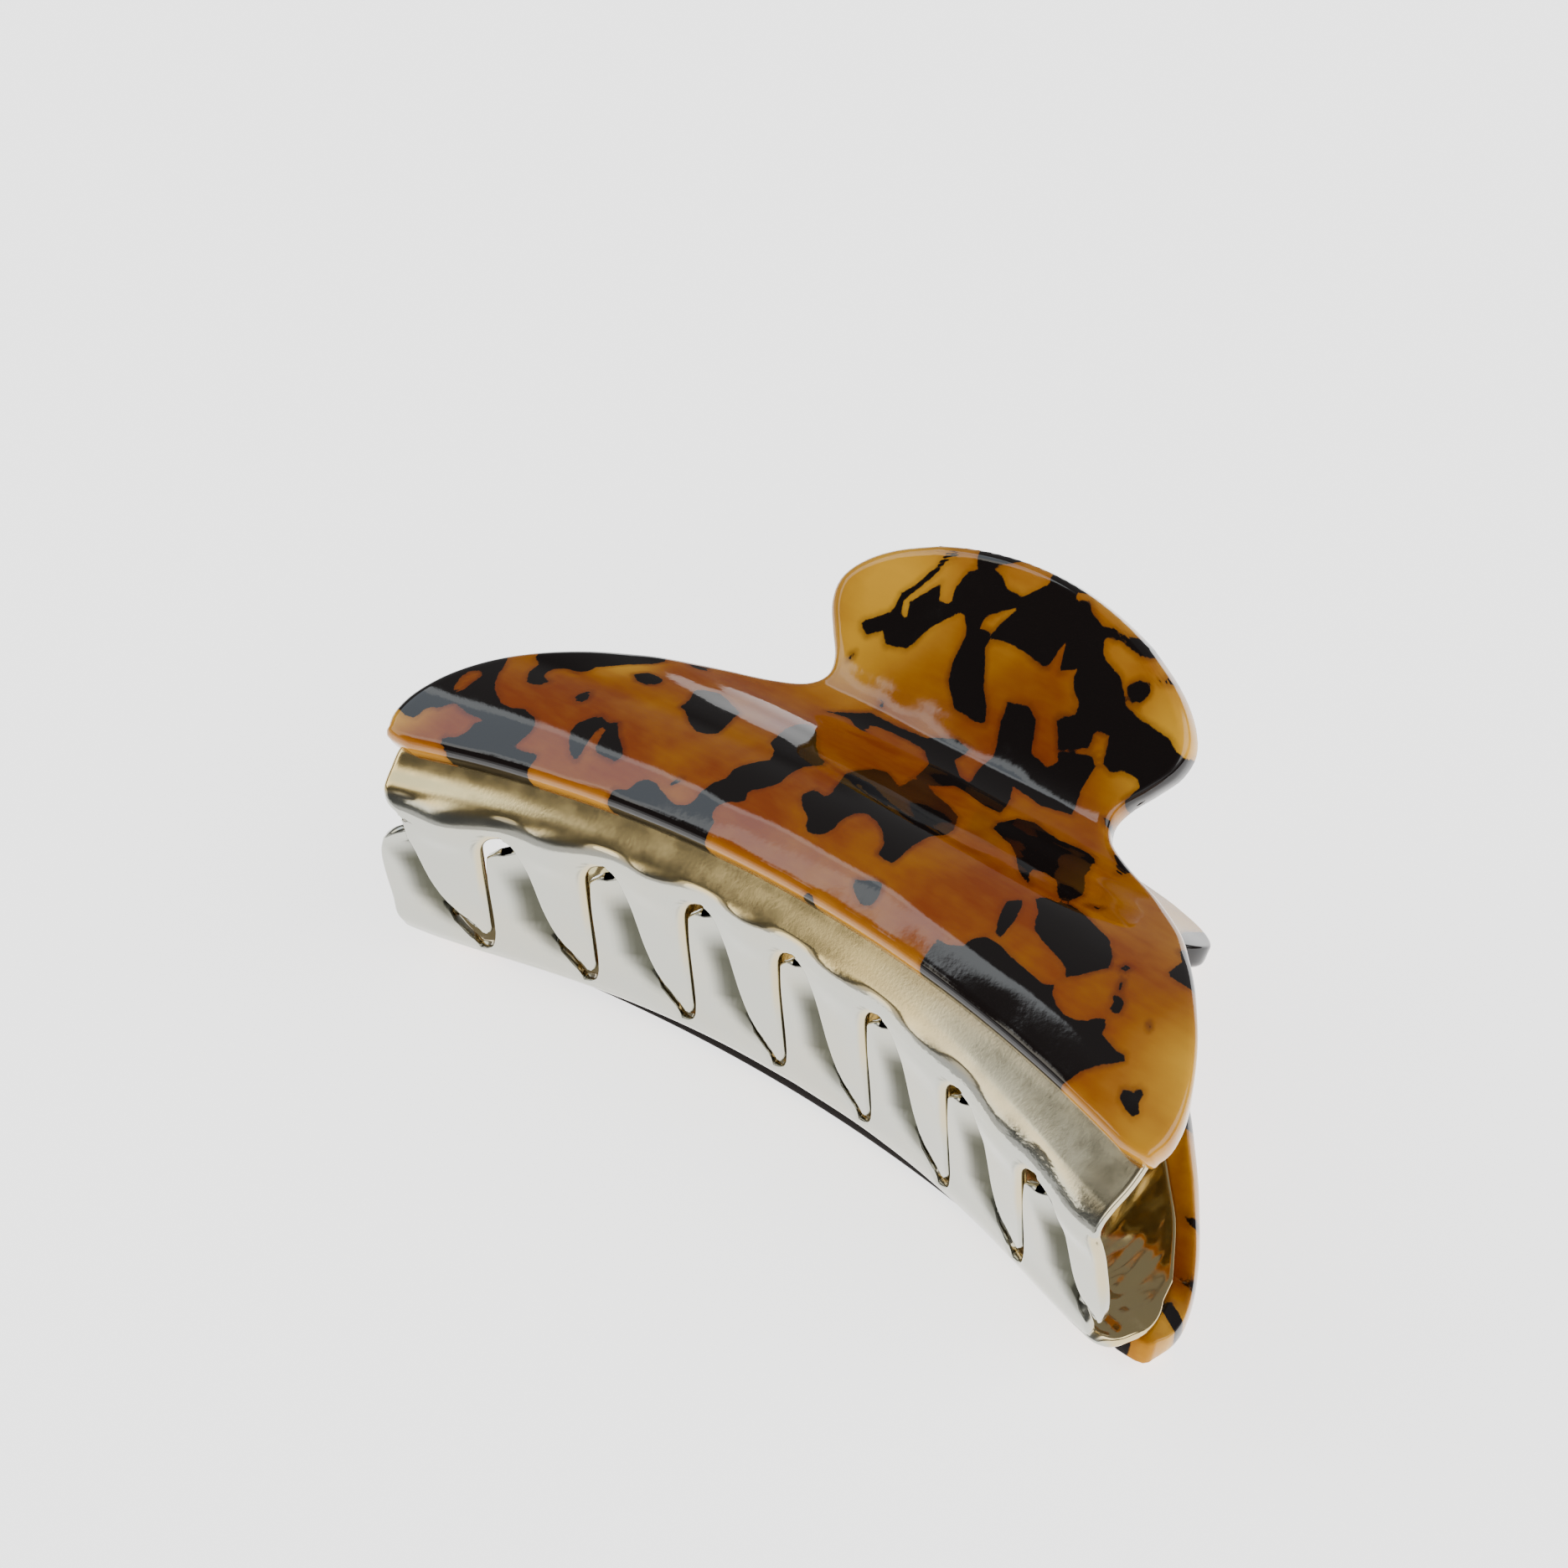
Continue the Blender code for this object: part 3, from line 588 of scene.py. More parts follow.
# Dark patches and amber islands of the upper cover, as outlines in the photograph's pixels
DARK_PATCHES = (
    ((1168, 638), (1194, 644), (1226, 654), (1220, 670), (1199, 674), (1186, 677), (1196, 688),
     (1203, 703), (1220, 713), (1253, 697), (1255, 672), (1272, 680), (1294, 697), (1297, 708),
     (1286, 707), (1284, 717), (1300, 717), (1304, 731), (1317, 748), (1330, 750), (1342, 760),
     (1361, 762), (1378, 775), (1379, 785), (1364, 785), (1350, 775), (1339, 765), (1320, 761),
     (1317, 775), (1320, 788), (1338, 808), (1342, 827), (1344, 842), (1361, 859), (1379, 870),
     (1396, 882), (1402, 893), (1413, 905), (1428, 906), (1442, 903), (1446, 923), (1431, 942),
     (1398, 960), (1361, 981), (1339, 1005), (1326, 1001), (1328, 990), (1339, 975), (1342, 955),
     (1361, 940), (1357, 929), (1339, 920), (1326, 923), (1317, 912), (1320, 901), (1324, 879),
     (1312, 873), (1305, 876), (1302, 893), (1267, 896), (1305, 903), (1307, 916), (1298, 931),
     (1291, 942), (1280, 973), (1243, 962), (1209, 938), (1206, 955), (1194, 971), (1172, 960),
     (1154, 946), (1139, 938), (1109, 938), (1093, 927), (1109, 912), (1104, 896), (1087, 885),
     (1065, 875), (1039, 864), (1035, 875), (1022, 868), (1013, 857), (985, 849), (1039, 851),
     (1072, 868), (1106, 881), (1124, 881), (1143, 883), (1157, 895), (1152, 901), (1139, 907),
     (1146, 927), (1157, 935), (1170, 916), (1187, 903), (1194, 864), (1203, 838), (1228, 843),
     (1237, 859), (1231, 899), (1250, 916), (1263, 912), (1263, 879), (1261, 857), (1283, 854),
     (1289, 842), (1283, 827), (1281, 812), (1286, 799), (1265, 801), (1273, 766), (1261, 781),
     (1252, 796), (1246, 796), (1224, 779), (1206, 768), (1183, 762), (1176, 775), (1176, 798),
     (1174, 820), (1178, 842), (1176, 866), (1165, 862), (1139, 846), (1132, 812), (1139, 786),
     (1154, 758), (1152, 735), (1135, 727), (1139, 705), (1154, 683), (1167, 681)),
    ((1028, 742), (1065, 730), (1072, 717), (1075, 708), (1089, 701), (1117, 678), (1127, 663),
     (1135, 655), (1146, 662), (1140, 666), (1136, 661), (1130, 670), (1119, 684), (1093, 706),
     (1080, 715), (1075, 731), (1082, 740), (1086, 719), (1124, 696), (1121, 717), (1148, 728),
     (1139, 735), (1108, 751), (1093, 766), (1083, 774), (1057, 770), (1054, 753), (1035, 758),
     (1029, 749)),
    ((1012, 788), (1015, 781), (1021, 779), (1019, 785)),
    ((1344, 823), (1347, 818), (1361, 812), (1374, 816), (1373, 830), (1361, 839), (1352, 838),
     (1347, 832)),
    ((1383, 812), (1391, 809), (1392, 803), (1399, 812), (1398, 817), (1384, 815)),
    ((1317, 976), (1324, 977), (1327, 990), (1320, 984)),
    ((469, 841), (507, 804), (557, 781), (604, 769), (608, 781), (603, 794), (593, 808), (591, 823),
     (598, 839), (610, 845), (628, 847), (639, 858), (639, 866), (631, 877), (613, 892), (622, 896),
     (642, 901), (639, 907), (629, 920), (625, 939), (628, 948), (653, 952), (653, 962), (604, 954),
     (554, 943), (553, 930), (518, 917), (528, 907), (532, 895), (524, 886), (531, 879), (543, 881),
     (557, 874), (566, 864), (578, 860), (557, 851), (543, 838), (525, 845), (510, 844), (496, 857),
     (485, 855)),
    ((474, 911), (484, 907), (496, 910), (499, 916), (490, 914), (484, 910), (478, 913)),
    ((644, 767), (642, 781), (639, 785), (644, 793), (631, 803), (629, 815), (642, 819), (656, 814),
     (648, 807), (657, 800), (675, 797), (689, 803), (705, 801), (710, 797), (733, 795), (760, 793),
     (777, 793), (794, 790), (796, 783), (763, 773), (704, 764)),
    ((818, 791), (832, 795), (849, 796), (845, 801), (830, 798)),
    ((686, 832), (695, 827), (704, 825), (705, 829), (700, 837), (689, 839)),
    ((757, 805), (772, 803), (782, 805), (792, 812), (788, 816), (774, 818), (760, 813)),
    ((681, 874), (689, 863), (704, 858), (717, 854), (726, 863), (738, 863), (738, 877), (742, 889),
     (744, 904), (733, 909), (713, 899), (711, 892), (723, 871), (719, 867), (710, 874), (698, 892),
     (692, 904), (688, 909), (681, 901), (679, 886)),
    ((813, 844), (824, 835), (829, 825), (836, 822), (845, 826), (857, 826), (868, 835), (883, 851),
     (868, 866), (857, 876), (845, 877), (830, 873), (823, 863), (818, 849)),
    ((717, 967), (729, 948), (733, 942), (751, 943), (760, 934), (772, 929), (783, 935), (794, 949),
     (804, 960), (821, 962), (831, 953), (837, 945), (853, 934), (868, 929), (877, 917), (897, 911),
     (921, 907), (924, 896), (919, 887), (927, 880), (938, 870), (953, 864), (968, 865), (975, 874),
     (974, 890), (979, 905), (985, 909), (982, 914), (962, 915), (944, 923), (930, 936), (909, 942),
     (894, 944), (889, 956), (880, 958), (868, 957), (853, 964), (850, 973), (853, 981), (845, 996),
     (837, 1011), (831, 1022), (792, 1006), (742, 990), (716, 976)),
    ((795, 941), (806, 931), (814, 929), (813, 933), (803, 937)),
    ((1009, 924), (1023, 920), (1044, 918), (1059, 922), (1067, 931), (1073, 940), (1084, 934),
     (1091, 929), (1106, 934), (1109, 940), (1117, 949), (1132, 961), (1144, 975), (1139, 990),
     (1129, 997), (1109, 999), (1088, 1011), (1073, 1025), (1066, 1031), (1054, 1025), (1048, 1019),
     (1056, 1008), (1054, 993), (1047, 981), (1035, 971), (1021, 971), (1006, 978), (996, 989),
     (985, 996), (977, 997), (963, 993), (962, 984), (965, 978), (957, 961), (957, 949), (974, 942),
     (985, 953), (994, 946), (1003, 933)),
    ((1021, 1050), (1032, 1051), (1047, 1052), (1054, 1055), (1050, 1069), (1041, 1081), (1029, 1081),
     (1023, 1072), (1018, 1058)),
    ((952, 1069), (962, 1064), (971, 1069), (967, 1080), (968, 1091), (956, 1085), (943, 1077),
     (950, 1074)),
    ((1051, 836), (1056, 838), (1054, 846), (1050, 848)),
    ((1186, 989), (1192, 982), (1215, 977), (1236, 982), (1248, 992), (1265, 1003), (1289, 1013),
     (1306, 1023), (1308, 1030), (1301, 1033), (1302, 1038), (1295, 1045), (1295, 1061), (1292, 1069),
     (1276, 1076), (1265, 1074), (1262, 1063), (1262, 1051), (1248, 1042), (1233, 1038), (1228, 1044),
     (1230, 1057), (1224, 1051), (1215, 1038), (1214, 1025), (1207, 1008), (1198, 1001)),
    ((1202, 1076), (1221, 1074), (1220, 1083), (1210, 1101), (1195, 1120), (1188, 1115), (1192, 1098),
     (1196, 1086)),
    ((1236, 1073), (1248, 1071), (1262, 1077), (1277, 1080), (1292, 1089), (1306, 1104), (1324, 1121),
     (1328, 1139), (1325, 1155), (1309, 1159), (1289, 1164), (1270, 1168), (1273, 1157), (1265, 1145),
     (1248, 1127), (1235, 1110), (1236, 1098), (1240, 1089)),
    ((1328, 1016), (1339, 1023), (1353, 1041), (1342, 1044), (1331, 1044), (1334, 1032)),
    ((1298, 1081), (1318, 1084), (1309, 1086)),
    ((1408, 1134), (1427, 1135), (1434, 1159), (1433, 1187), (1415, 1177), (1394, 1164), (1397, 1159),
     (1411, 1149)),
    ((1337, 1156), (1345, 1152), (1351, 1156), (1343, 1160)),
    ((1338, 1170), (1342, 1172), (1339, 1181), (1334, 1183)),
    ((1331, 1186), (1340, 1192), (1342, 1199), (1337, 1209), (1331, 1210), (1323, 1207), (1330, 1198),
     (1328, 1192)),
    ((1371, 1221), (1374, 1225), (1372, 1230)),
    ((1092, 1164), (1107, 1137), (1120, 1120), (1129, 1127), (1148, 1130), (1161, 1121), (1177, 1118),
     (1193, 1127), (1207, 1142), (1227, 1159), (1245, 1175), (1259, 1176), (1256, 1186), (1262, 1202),
     (1271, 1212), (1283, 1217), (1299, 1218), (1309, 1215), (1321, 1217), (1320, 1225), (1315, 1234),
     (1325, 1245), (1334, 1256), (1344, 1260), (1342, 1267), (1312, 1272), (1292, 1278), (1265, 1297),
     (1255, 1307), (1270, 1336), (1262, 1344), (1224, 1312), (1186, 1268), (1148, 1230), (1092, 1179)),
    ((1339, 1302), (1346, 1300), (1353, 1305), (1358, 1299), (1365, 1302), (1365, 1309), (1359, 1316),
     (1361, 1330), (1353, 1334), (1345, 1327), (1337, 1312)),
    ((1342, 1393), (1353, 1389), (1362, 1387), (1356, 1394)),
)
AMBER_ISLANDS = (
    ((1170, 750), (1176, 735), (1217, 725), (1198, 742), (1184, 756)),
    ((550, 808), (560, 801), (576, 800), (575, 807), (563, 816), (554, 823), (544, 827), (541, 822)),
)

# Dark patches of the lower cover: x and height of the middle, half sizes along both, turn in degrees
LOWER_PATCHES = (
    (-52.0, 4.0, 3.5, 0.8, 12.0), (-52.5, 8.6, 4.2, 0.6, -8.0), (-47.0, 12.9, 2.5, 0.5, 4.0),
    (-40.0, 20.4, 5.0, 1.5, 10.0), (-37.0, 24.5, 4.0, 1.4, -20.0), (-48.0, -1.2, 2.0, 0.8, 0.0),
    (-33.0, -0.6, 6.5, 1.6, 3.0), (-17.0, -1.0, 7.0, 2.2, -4.0), (2.0, -0.5, 9.0, 2.4, 5.0),
    (21.0, -1.0, 8.0, 1.8, -2.0), (38.0, -0.8, 6.0, 1.5, 4.0), (-30.0, 9.0, 6.0, 3.0, 35.0),
    (-12.0, 8.0, 4.0, 5.5, 20.0), (7.0, 12.0, 7.0, 3.4, -25.0), (26.0, 8.5, 5.0, 4.0, 40.0),
    (43.0, 9.0, 4.0, 3.0, -15.0), (-19.0, 18.5, 6.0, 2.6, -15.0), (18.0, 19.0, 4.0, 3.0, 10.0),
    (-4.0, 22.0, 5.0, 2.2, 30.0), (34.0, 17.0, 3.2, 2.0, 0.0), (-12.0, 33.0, 6.0, 3.5, 50.0),
    (5.0, 36.5, 6.5, 4.2, -35.0), (18.0, 40.0, 4.5, 3.6, 20.0), (-2.0, 43.5, 5.5, 2.2, 0.0),
    (-23.5, 38.0, 4.0, 3.0, 60.0), (9.0, 28.0, 4.0, 1.8, -10.0), (47.5, 3.0, 2.4, 1.6, 0.0))

# Yellower acetate: x and height of the middle, radius, share of the yellower tone
YELLOWER = (
    (-17.0, 40.0, 8.0, 1.0), (-18.0, 34.0, 6.0, 0.8), (22.0, 38.0, 6.0, 1.0), (12.0, 43.0, 5.0, 0.35),
    (52.0, 9.0, 7.0, 0.9), (51.0, 1.0, 5.0, 0.5), (-52.0, 3.0, 3.5, 0.8), (-36.0, 17.0, 3.0, 0.7),
    (-2.0, 44.0, 6.0, 0.35))


def lower_depth_inside(places):
    best = np.full(len(places), -FAR)
    for x, height, half_x, half_height, turn in LOWER_PATCHES:
        c, s = math.cos(math.radians(turn)), math.sin(math.radians(turn))
        dx, dy = places[:, 0] - x, places[:, 1] - height
        along = (c * dx + s * dy) / half_x
        across = (c * dy - s * dx) / half_height
        # lobes keep the patches from looking like plain ovals
        around = np.arctan2(across, along)
        reach = 1.0 + 0.16 * np.sin(3.0 * around + x) + 0.1 * np.sin(5.0 * around + height)
        best = np.maximum(best, (reach - np.hypot(along, across)) * min(half_x, half_height))
    return best


def yellow_share(places):
    total = np.zeros(len(places))
    for x, height, radius, share in YELLOWER:
        away = np.hypot(places[:, 0] - x, places[:, 1] - height) / radius
        total = np.maximum(total, share * np.exp(-away * away))
    return total


class Nodes:
    """Short calls for building a node tree."""

    def __init__(self, tree):
        self.tree = tree

    def add(self, kind, **settings):
        node = self.tree.nodes.new(kind)
        for name, value in settings.items():
            setattr(node, name, value)
        return node

    def put(self, socket, value):
        if isinstance(value, bpy.types.NodeSocket):
            self.tree.links.new(value, socket)
        else:
            socket.default_value = value

    def math(self, operation, a, b=0.0, c=0.0, clamp=False):
        node = self.add("ShaderNodeMath", operation=operation, use_clamp=clamp)
        for socket, value in zip(node.inputs, (a, b, c)):
            self.put(socket, value)
        return node.outputs[0]

    def step(self, value, low, high, start=0.0, end=1.0):
        node = self.add("ShaderNodeMapRange", interpolation_type="SMOOTHSTEP")
        for name, number in (("Value", value), ("From Min", low), ("From Max", high), ("To Min", start),
                             ("To Max", end)):
            self.put(node.inputs[name], number)
        return node.outputs["Result"]

    def mix(self, share, a, b):
        node = self.add("ShaderNodeMix", data_type="RGBA")
        self.put(node.inputs["Factor"], share)
        self.put(node.inputs[6], a)
        self.put(node.inputs[7], b)
        return node.outputs[2]

    def noise(self, place, scale, detail=2.0, roughness=0.5):
        node = self.add("ShaderNodeTexNoise")
        self.put(node.inputs["Vector"], place)
        for name, number in (("Scale", scale), ("Detail", detail), ("Roughness", roughness)):
            self.put(node.inputs[name], number)
        return node.outputs["Fac"]

    def place(self, stretch=(1.0, 1.0, 1.0)):
        node = self.add("ShaderNodeMapping")
        self.put(node.inputs["Vector"], self.add("ShaderNodeTexCoord").outputs["Object"])
        node.inputs["Scale"].default_value = stretch
        return node.outputs["Vector"]

    def value(self, title):
        return self.add("ShaderNodeAttribute", attribute_name=title).outputs["Fac"]

    def bump(self, height, distance, strength=1.0, under=None):
        node = self.add("ShaderNodeBump")
        self.put(node.inputs["Height"], height)
        node.inputs["Distance"].default_value = distance
        self.put(node.inputs["Strength"], strength)
        if under is not None:
            self.put(node.inputs["Normal"], under)
        return node.outputs["Normal"]


def new_material(name):
    material = bpy.data.materials.new(name)
    material.use_nodes = True
    return Nodes(material.node_tree), material.node_tree.nodes["Principled BSDF"], material


AMBER_DEEP = (0.22, 0.041, 0.0018, 1.0)
AMBER_LIGHT = (0.72, 0.37, 0.024, 1.0)
AMBER_RED = (0.08, 0.009, 0.002, 1.0)
PATCH_DARK = (0.005, 0.0026, 0.0022, 1.0)


def acetate_material():
    """Amber and near-black acetate under a deep gloss; the patches run through the whole sheet."""
    n, shader, material = new_material("tortoiseshell")
    place = n.place()
    wobble = n.math("SUBTRACT", n.noise(place, 1300.0, 3.0, 0.6), 0.5)
    # the patches' value also carries the painted shade along the far cover's belly
    inside = n.math("MULTIPLY_ADD", wobble, 0.35, n.value("patch_and_shade"))
    cloud = n.noise(place, 75.0, 3.0, 0.6)
    streak = n.noise(n.place((1.0, 3.5, 3.5)), 260.0, 2.0, 0.5)
    # painted light: the attribute also makes the amber lighter and yellower towards the rims
    yellow_and_rim_light = n.math("MULTIPLY_ADD", n.step(cloud, 0.35, 0.75), 0.22, n.value("yellow_and_rim_light"), clamp=True)
    yellow_and_rim_light = n.math("MULTIPLY_ADD", n.math("SUBTRACT", streak, 0.5), 0.12, yellow_and_rim_light, clamp=True)
    amber = n.mix(yellow_and_rim_light, AMBER_DEEP, AMBER_LIGHT)
    # a dull red fringe where the dark colour bleeds into the amber
    fringe = n.step(inside, -0.75, 0.0)
    fringe = n.math("MULTIPLY", fringe, n.step(n.noise(place, 160.0, 1.0), 0.3, 0.7, 0.15, 0.6))
    amber = n.mix(fringe, amber, AMBER_RED)
    n.put(shader.inputs["Base Color"], n.mix(n.step(inside, -0.07, 0.07), amber, PATCH_DARK))
    shader.inputs["IOR"].default_value = 1.5
    n.put(shader.inputs["Specular IOR Level"], n.step(n.value("shade"), 0.0, 1.0, 0.5, 0.05))
    n.put(shader.inputs["Roughness"], n.step(n.noise(place, 420.0, 4.0, 0.6), 0.4, 0.8, 0.035, 0.08))
    ripple = n.bump(n.noise(place, 95.0, 1.0, 0.4), 0.00022)
    n.put(shader.inputs["Normal"], n.bump(n.noise(place, 1500.0, 2.0), 0.0000035, 1.0, ripple))
    return material


METAL_PALE = (0.41, 0.41, 0.36, 1.0)
PAINTED_REFLECTION_GOLD = (0.56, 0.44, 0.215, 1.0)
PAINTED_SHADE_COLOUR = (0.03, 0.03, 0.018, 1.0)
SPRING_COLOUR = (0.5, 0.49, 0.46, 1.0)
PIN_COLOUR = (0.58, 0.56, 0.5, 1.0)


def plate_material():
    """Pale golden plating: smooth on the teeth, crinkled along the flange and inside the jaw, with painted
    reflection and painted shade in its base colour.
    """
    n, shader, material = new_material("pale_gold")
    place = n.place()
    painted_warm_reflection = n.value("painted_warm_reflection")
    cloud = n.math("MULTIPLY", n.step(n.noise(place, 110.0, 2.0), 0.35, 0.75), 0.12)
    # painted reflection: a warmer, yellower tone stands in for the amber covers and the jaw reflected in
    # the plating
    tone = n.mix(n.math("ADD", painted_warm_reflection, cloud, clamp=True), METAL_PALE, PAINTED_REFLECTION_GOLD)
    # painted shade: the base colour goes near-black where the jaws' shade is painted into it
    n.put(shader.inputs["Base Color"], n.mix(n.value("painted_shade"), tone, PAINTED_SHADE_COLOUR))
    shader.inputs["Metallic"].default_value = 1.0
    rough = n.step(n.noise(place, 300.0, 3.0, 0.6), 0.35, 0.75, 0.13, 0.2)
    n.put(shader.inputs["Roughness"], rough)
    grain = n.bump(n.noise(place, 2600.0, 2.0, 0.6), 0.000003)
    soft = n.bump(n.noise(place, 90.0, 1.0, 0.4), 0.00004, 1.0, grain)
    creases = n.noise(n.place((0.6, 1.0, 1.0)), 700.0, 3.0, 0.55)
    crumple = n.bump(creases, 0.00035, n.value("crinkle"), soft)
    fold = n.noise(n.place((1.0, 0.4, 0.4)), 210.0, 2.0, 0.45)
    n.put(shader.inputs["Normal"], n.bump(fold, 0.0016, n.value("folds"), crumple))
    return material


def wire_material(name, colour, low, high):
    """Bright drawn steel with fine lengthwise drawing marks."""
    n, shader, material = new_material(name)
    place = n.place((8.0, 1.0, 1.0))
    shade = n.step(n.noise(place, 900.0, 3.0), 0.3, 0.7)
    n.put(shader.inputs["Base Color"], n.mix(shade, colour, tuple(0.8 * c for c in colour[:3]) + (1.0,)))
    shader.inputs["Metallic"].default_value = 1.0
    n.put(shader.inputs["Roughness"], n.step(n.noise(place, 500.0, 2.0), 0.3, 0.7, low, high))
    n.put(shader.inputs["Normal"], n.bump(n.noise(place, 2400.0, 2.0), 0.000004))
    return material


# The floor's own light keeps it pale under the renderer's view setting
FLOOR_GLOW = 2.0
FLOOR_PALE = (0.94, 0.94, 0.94, 1.0)
FLOOR_GREY = (0.93, 0.93, 0.93, 1.0)


def floor_material():
    n, shader, material = new_material("pale_floor")
    place = n.place()
    shade = n.step(n.noise(place, 3.0, 2.0), 0.3, 0.7)
    n.put(shader.inputs["Base Color"], n.mix(shade, FLOOR_PALE, FLOOR_GREY))
    shader.inputs["Roughness"].default_value = 0.9
    shader.inputs["Emission Color"].default_value = (1.0, 1.0, 1.0, 1.0)
    shader.inputs["Emission Strength"].default_value = FLOOR_GLOW
    return material


acetate = acetate_material()
plate = plate_material()
spring_steel = wire_material("spring_wire", SPRING_COLOUR, 0.22, 0.35)
pin_steel = wire_material("pin_wire", PIN_COLOUR, 0.18, 0.3)

dark_outlines = [on_upper_cover(outline) for outline in DARK_PATCHES]
island_outlines = [on_upper_cover(outline) for outline in AMBER_ISLANDS]


def make_shell(half, lower):
    """A cover, with its patches, its yellower places, painted light along its rim, painted shade along the
    far cover's belly, and where its gloss is weaker.
    """
    face = lower_cover_face if lower else cover_face
    form = lower_cover_edge_form if lower else cover_edge_form
    vertices, faces, places, rim = sheet_mesh(face, [cover_rows()], COVER_THICKNESS, form, lower)
    x, height = places[:, 0], places[:, 1]
    if lower:
        # painted shade: along the far cover's belly edge the colour is darkened to the patches' near-black
        # and its gloss is weakened
        shade = smooth_step(1.2, 0.2, height)
        belly = shade * smooth_step(44.0, 38.0, np.abs(x))
        patch_and_shade = np.maximum(lower_depth_inside(places), 0.9 * belly - 0.5)
    else:
        shade = 0.8 * smooth_step(10.0, 13.0, height) * smooth_step(24.0, 20.0, height)
        shade = shade * smooth_step(6.0, -6.0, x)
        patch_and_shade = depth_inside(places, dark_outlines)
        patch_and_shade = np.minimum(patch_and_shade, -depth_inside(places, island_outlines))
    # painted light: the amber is made yellower within about a millimetre of the rim, as light through the
    # edge; the listed places are the acetate's own yellower tone
    yellow_and_rim_light = np.maximum(yellow_share(places), 0.4 * np.exp(-rim / 0.8))
    values = (("patch_and_shade", patch_and_shade), ("yellow_and_rim_light", yellow_and_rim_light), ("shade", shade))
    name, body, slot = half + "_shell", half + "_half", "tortoiseshell_acetate"
    shell = new_object(name, vertices, faces, body, acetate, values)
    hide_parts(half + "_cover")


def make_teeth(half, lower):
    """A jaw with its two ears; its values say where the plating is crumpled, where a warm reflection is
    painted and where shade is painted.
    """
    face = lower_jaw_face if lower else upper_jaw_face
    edge_form = lower_edge_form if lower else upper_edge_form
    if lower:
        patches = jaw_patches(LOWER_CURVED_EDGE, LOWER_SHOULDER_SHIFT)
    else:
        patches = jaw_patches(CURVED_EDGE, SHOULDER_SHIFT)
    vertices, faces, places, rim = sheet_mesh(face, patches, METAL_THICKNESS, edge_form, lower)
    x, row = places[:, 0], places[:, 1]
    inner = np.arange(len(x)) >= len(x) // 2
    away = smooth_step(0.3, 1.2, rim)
    ridge = smooth_step(-8.4, -7.2, row) * smooth_step(-4.6, -6.0, row)
    right = 0.05 + 0.2 * smooth_step(-20.0, 15.0, x)
    crinkle = np.where(inner, 0.0, ridge * right)
    folds = np.where(inner, smooth_step(-14.0, -8.0, row), 0.0) * away
    # painted reflection: a warmer tone along the flange, stronger to the left, and over the inner faces
    # near the base
    flange = smooth_step(-5.9, -5.0, row) * (1.0 - 0.5 * smooth_step(5.0, 32.0, x))
    painted_warm_reflection = np.where(inner, 0.9 * smooth_step(-14.0, -4.0, row), flange)
    if lower:
        # painted shade: a dark band down the curled side of each lower tooth, where it dives behind its
        # neighbour
        inset = curved_side_inset(x, row)
        level = row + LEVEL_SHIFT
        # the part of a tooth that the curl tucks behind its neighbour stays plain
        tucked = 2.3 * (1.0 - smooth_step(CURL_END, CURL_START, level))
        painted_shade = smooth_step(tucked + 3.0, tucked + 0.1, inset) * smooth_step(8.5, 5.0, level)
        painted_shade = 0.93 * painted_shade * smooth_step(-8.5, -4.0, level)
    else:
        tooth = row < SLOT_ROW + 0.5
        straight = tooth & ((np.mod(x, TOOTH_PITCH) < 3.0) | (np.mod(x, TOOTH_PITCH) > 10.5))
        fade = smooth_step(-22.0, -15.0, row) * straight
        # painted reflection: the rolled fillet by each slot's straight side is tinted warm, as if
        # reflecting the next tooth
        painted_warm_reflection = np.maximum(painted_warm_reflection, 0.6 * fade * (1.0 - smooth_step(0.3, 1.1, rim)))
        # painted shade: a thin dark line about a millimetre in from the rim of each slot's straight side,
        # standing in for a shadow line
        line = np.exp(-(((rim - 0.95) / 0.09) ** 2))
        painted_shade = 0.45 * fade * line * smooth_step(-13.0, -9.0, row)
    painted_shade = np.where(inner, 0.0, painted_shade)
    values = (("crinkle", crinkle), ("folds", folds), ("painted_warm_reflection", painted_warm_reflection), ("painted_shade", painted_shade))
    body, slot = half + "_half", "pale_gold_plate"
    jaw = new_object(half + "_teeth", vertices, faces, body, plate, values)
    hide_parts(half + "_jaw")
    for side, x_middle in (("outer", EAR_OUTER), ("inner", -EAR_INNER)):
        vertices, faces = ear_mesh(x_middle, lower)
        name = half + "_" + side + "_ear"
        new_object(name, vertices, faces, body, plate, smooth=False)


for half, lower in (("upper", False), ("lower", True)):
    make_shell(half, lower)
    make_teeth(half, lower)

for node, steel in (("hinge_pin", pin_steel), ("hinge_spring", spring_steel), ("spring_arm", spring_steel)):
    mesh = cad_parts[node].data
    mesh.materials.clear()
    mesh.materials.append(steel)

# Camera at the photograph's angle
tilt = Matrix.Rotation(REST_TILT, 3, "X")
axes = [tilt @ Vector(v) for v in (CAMERA_RIGHT, CAMERA_UP, CAMERA_BACK)]
stand = Vector(CAMERA_TARGET) + CAMERA_DISTANCE * Vector(CAMERA_BACK)
stand = (tilt @ stand + Vector((0.0, -MIDDLE_Y, LIFT))) * MM
camera_data = bpy.data.cameras.new("camera")
camera_data.lens = LENS
camera_data.sensor_width = SENSOR
camera_data.shift_x = CAMERA_SHIFT[0]
camera_data.shift_y = CAMERA_SHIFT[1]
camera_data.clip_start = 0.01
camera = bpy.data.objects.new("camera", camera_data)
bpy.context.scene.collection.objects.link(camera)
camera.matrix_world = Matrix.Translation(stand) @ Matrix(axes).transposed().to_4x4()
bpy.context.scene.camera = camera

